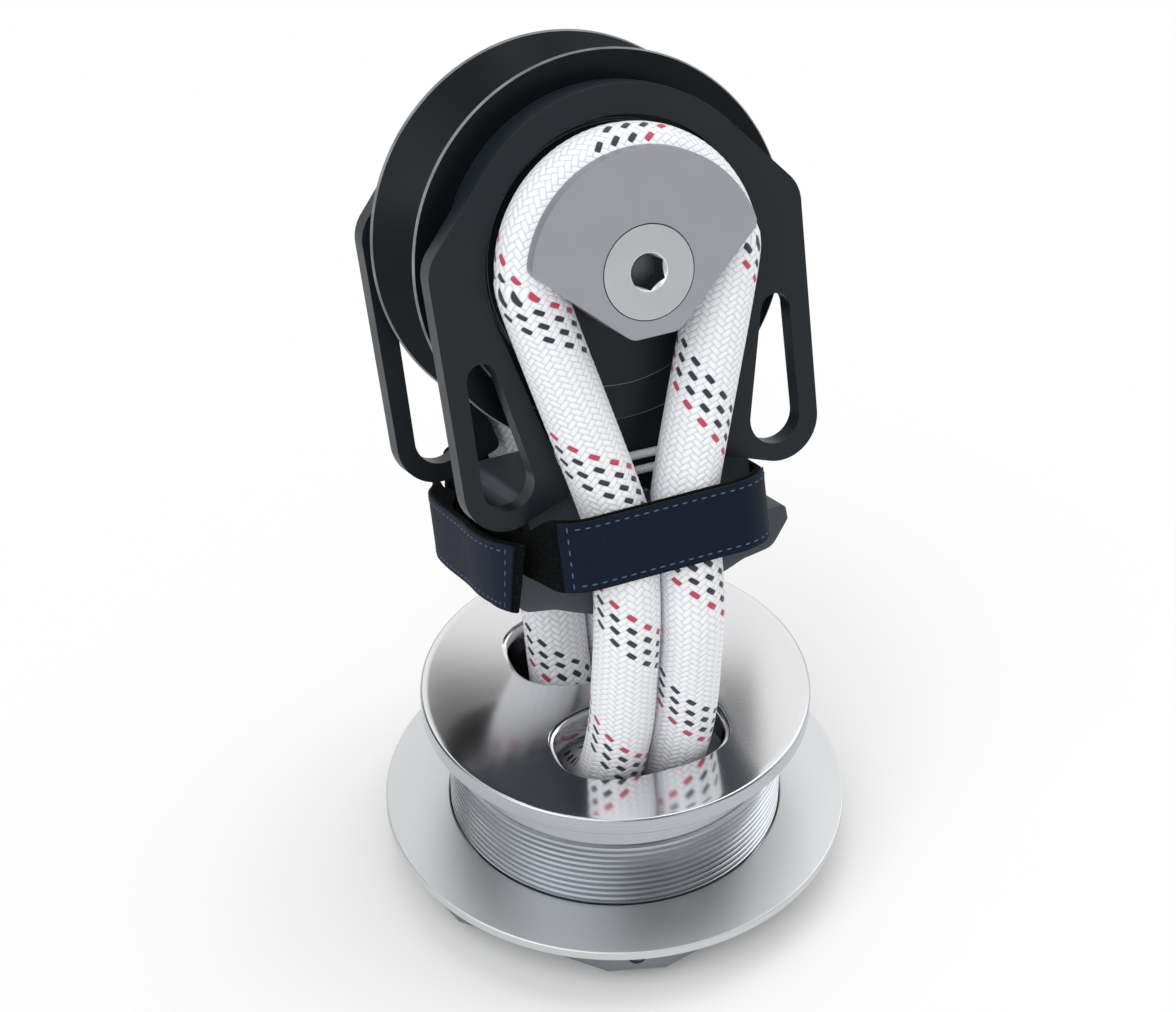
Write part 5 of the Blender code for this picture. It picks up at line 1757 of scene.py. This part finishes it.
@dataclass
class Studio:
    """Pale floor, dark cards, soft lamps, world and the camera at the photograph's angle.

    A card's row has its name, its turn from the camera and its tilt in degrees, its distance from the
    aim, half its side and its colour. A lamp's row has its name, place, side and watts.
    """

    position: Vector = Vector((-0.2300, -0.6381, 0.6766))
    aim: Vector = Vector((-0.0068, 0.0024, 0.1159))
    lens_mm: float = 106.1
    sensor_mm: float = 36.0
    floor_half: float = 6.0
    floor_colour: str = "#f6f6f6"
    matt_roughness: float = 0.9
    shadow_start: float = 0.02
    shadow_reach: float = 0.22
    card_table: tuple[tuple[str, float, float, float, float, str], ...] = (
        ("grey_card", 0.0, 45.0, 2.4, 1.3, "#5a5c5f"), ("right_card", 80.0, 30.0, 1.9, 0.8, "#111316"),
        ("left_card", -110.0, 25.0, 1.9, 0.7, "#111316"), ("rear_card", 179.0, 38.8, 0.147, 0.038, "#05070a"))
    lamp_table: tuple[tuple[str, Corner, float, float], ...] = (
        ("key", (-0.9, -0.8, 1.3), 1.5, 14.0), ("fill", (1.3, 0.2, 1.0), 1.4, 7.0),
        ("top", (0.3, 0.6, 2.3), 1.4, 11.0))
    lamp_aim: Vector = Vector((0, 0, 0.1))
    world_as_lamp: float = 0.56

    def build(self) -> None:
        """Set up the scene round the object."""
        self.camera()
        self.floor()
        self.cards()
        self.lamps()
        self.world()
        bpy.context.scene.view_settings.view_transform = "Standard"

    def stand(self, name: str, data: bpy.types.ID, place: Vector, aim: Vector) -> bpy.types.Object:
        """Put a camera or a lamp in its place.

        Args:
            name: name of the object.
            data: its camera or light.
            place: where it stands.
            aim: what it points at.

        Returns:
            The new object.
        """
        made = bpy.data.objects.new(name, data)
        made.location = place
        made.rotation_euler = (aim - place).to_track_quat("-Z", "Y").to_euler()
        bpy.context.scene.collection.objects.link(made)
        return made

    def camera(self) -> None:
        """Camera where the photograph was taken from."""
        data = bpy.data.cameras.new("camera")
        data.lens, data.sensor_width = self.lens_mm, self.sensor_mm
        data.sensor_fit = "HORIZONTAL"
        bpy.context.scene.camera = self.stand("camera", data, self.position, self.aim)

    def matt(self, name: str, colour: str) -> bpy.types.Material:
        """Plain matt material.

        Args:
            name: its name.
            colour: its sRGB hex colour.

        Returns:
            The new material.
        """
        made = bpy.data.materials.new(name)
        made.use_nodes = True
        shader = made.node_tree.nodes["Principled BSDF"]
        feed(shader, {"Base Color": linear(colour), "Roughness": self.matt_roughness})
        return made

    def seen_directly(self, tree: bpy.types.NodeTree) -> bpy.types.Node:
        """1 for a ray from the camera or off a mirror, else 0.

        Args:
            tree: node tree that takes the nodes.

        Returns:
            The node that gives the value.
        """
        path = add_node(tree, "LightPath")
        return add_node(tree, "Math", (path.outputs["Is Camera Ray"], path.outputs["Is Glossy Ray"]),
                        operation="MAXIMUM")

    def floor(self) -> None:
        """Pale floor that holds the shadow near the object and turns plain white away from it."""
        made = self.matt("pale_floor", self.floor_colour)
        tree = made.node_tree
        white = add_node(tree, "Emission", {"Color": linear("#ffffff")})
        place = add_node(tree, "TexCoord").outputs["Object"]
        radius = add_node(tree, "VectorMath", [place], operation="LENGTH")
        far = add_node(tree, "MapRange", {"Value": radius, "From Min": self.shadow_start,
                                          "From Max": self.shadow_reach}, interpolation_type="SMOOTHSTEP")
        share = add_node(tree, "Math", (far, self.seen_directly(tree)), operation="MULTIPLY")
        mix = add_node(tree, "MixShader", (share, tree.nodes["Principled BSDF"], white))
        feed(tree.nodes["Material Output"], {"Surface": mix})
        self.panel("floor", self.floor_half, Matrix(), made)

    def panel(self, name: str, half: float, place: Matrix, material: bpy.types.Material) -> bpy.types.Object:
        """One flat square of the studio.

        Args:
            name: name of the object.
            half: half its side.
            place: where it lies, facing along its own z.
            material: its material.

        Returns:
            The new object.
        """
        bm = bmesh.new()
        bmesh.ops.create_grid(bm, x_segments=1, y_segments=1, size=half)
        bmesh.ops.transform(bm, matrix=place, verts=bm.verts)
        made = as_object(name, bm)
        made.data.materials.append(material)
        return made

    def cards(self) -> None:
        """Dark cards for the metal to mirror: a grey one over the camera, two at the sides and a small
        one behind the block. Only mirrors see them.
        """
        view = self.position - self.aim
        front = math.atan2(view.y, view.x)
        for name, turn, tilt, distance, half, colour in self.card_table:
            angle = front + math.radians(turn)
            way = Vector((math.cos(angle), math.sin(angle), math.tan(math.radians(tilt)))).normalized()
            facing = (-way).to_track_quat("Z", "Y").to_matrix().to_4x4()
            card = self.panel(name, half, Matrix.Translation(self.aim + way * distance) @ facing,
                              self.matt(name, colour))
            card.visible_camera = False
            card.visible_diffuse = False
            card.visible_shadow = False

    def lamps(self) -> None:
        """Key from the upper left, fill from the right and a lamp behind."""
        for name, place, size, watts in self.lamp_table:
            data = bpy.data.lights.new(name, "AREA")
            data.size, data.energy = size, watts
            self.stand(name, data, Vector(place), self.lamp_aim)

    def world(self) -> None:
        """White to the camera and to reflections, dimmer as a lamp."""
        world = bpy.data.worlds.new("studio")
        bpy.context.scene.world = world
        world.use_nodes = True
        tree = world.node_tree
        seen = self.seen_directly(tree)
        strength = add_node(tree, "MapRange", {"Value": seen, "To Min": self.world_as_lamp})
        feed(tree.nodes["Background"], {"Strength": strength, "Color": linear("#ffffff")})


def main() -> None:
    """Build the studio and the pieces."""
    logging.basicConfig(level=logging.INFO, format="%(message)s")
    sides = [SideFrame(side) for side in Side]
    for part in (Studio(), Padeye(), Backing(), Sheave(), *sides, Saddle(), Rope(), TieCord(), Strap()):
        part.build()


if __name__ == "__main__":
    main()
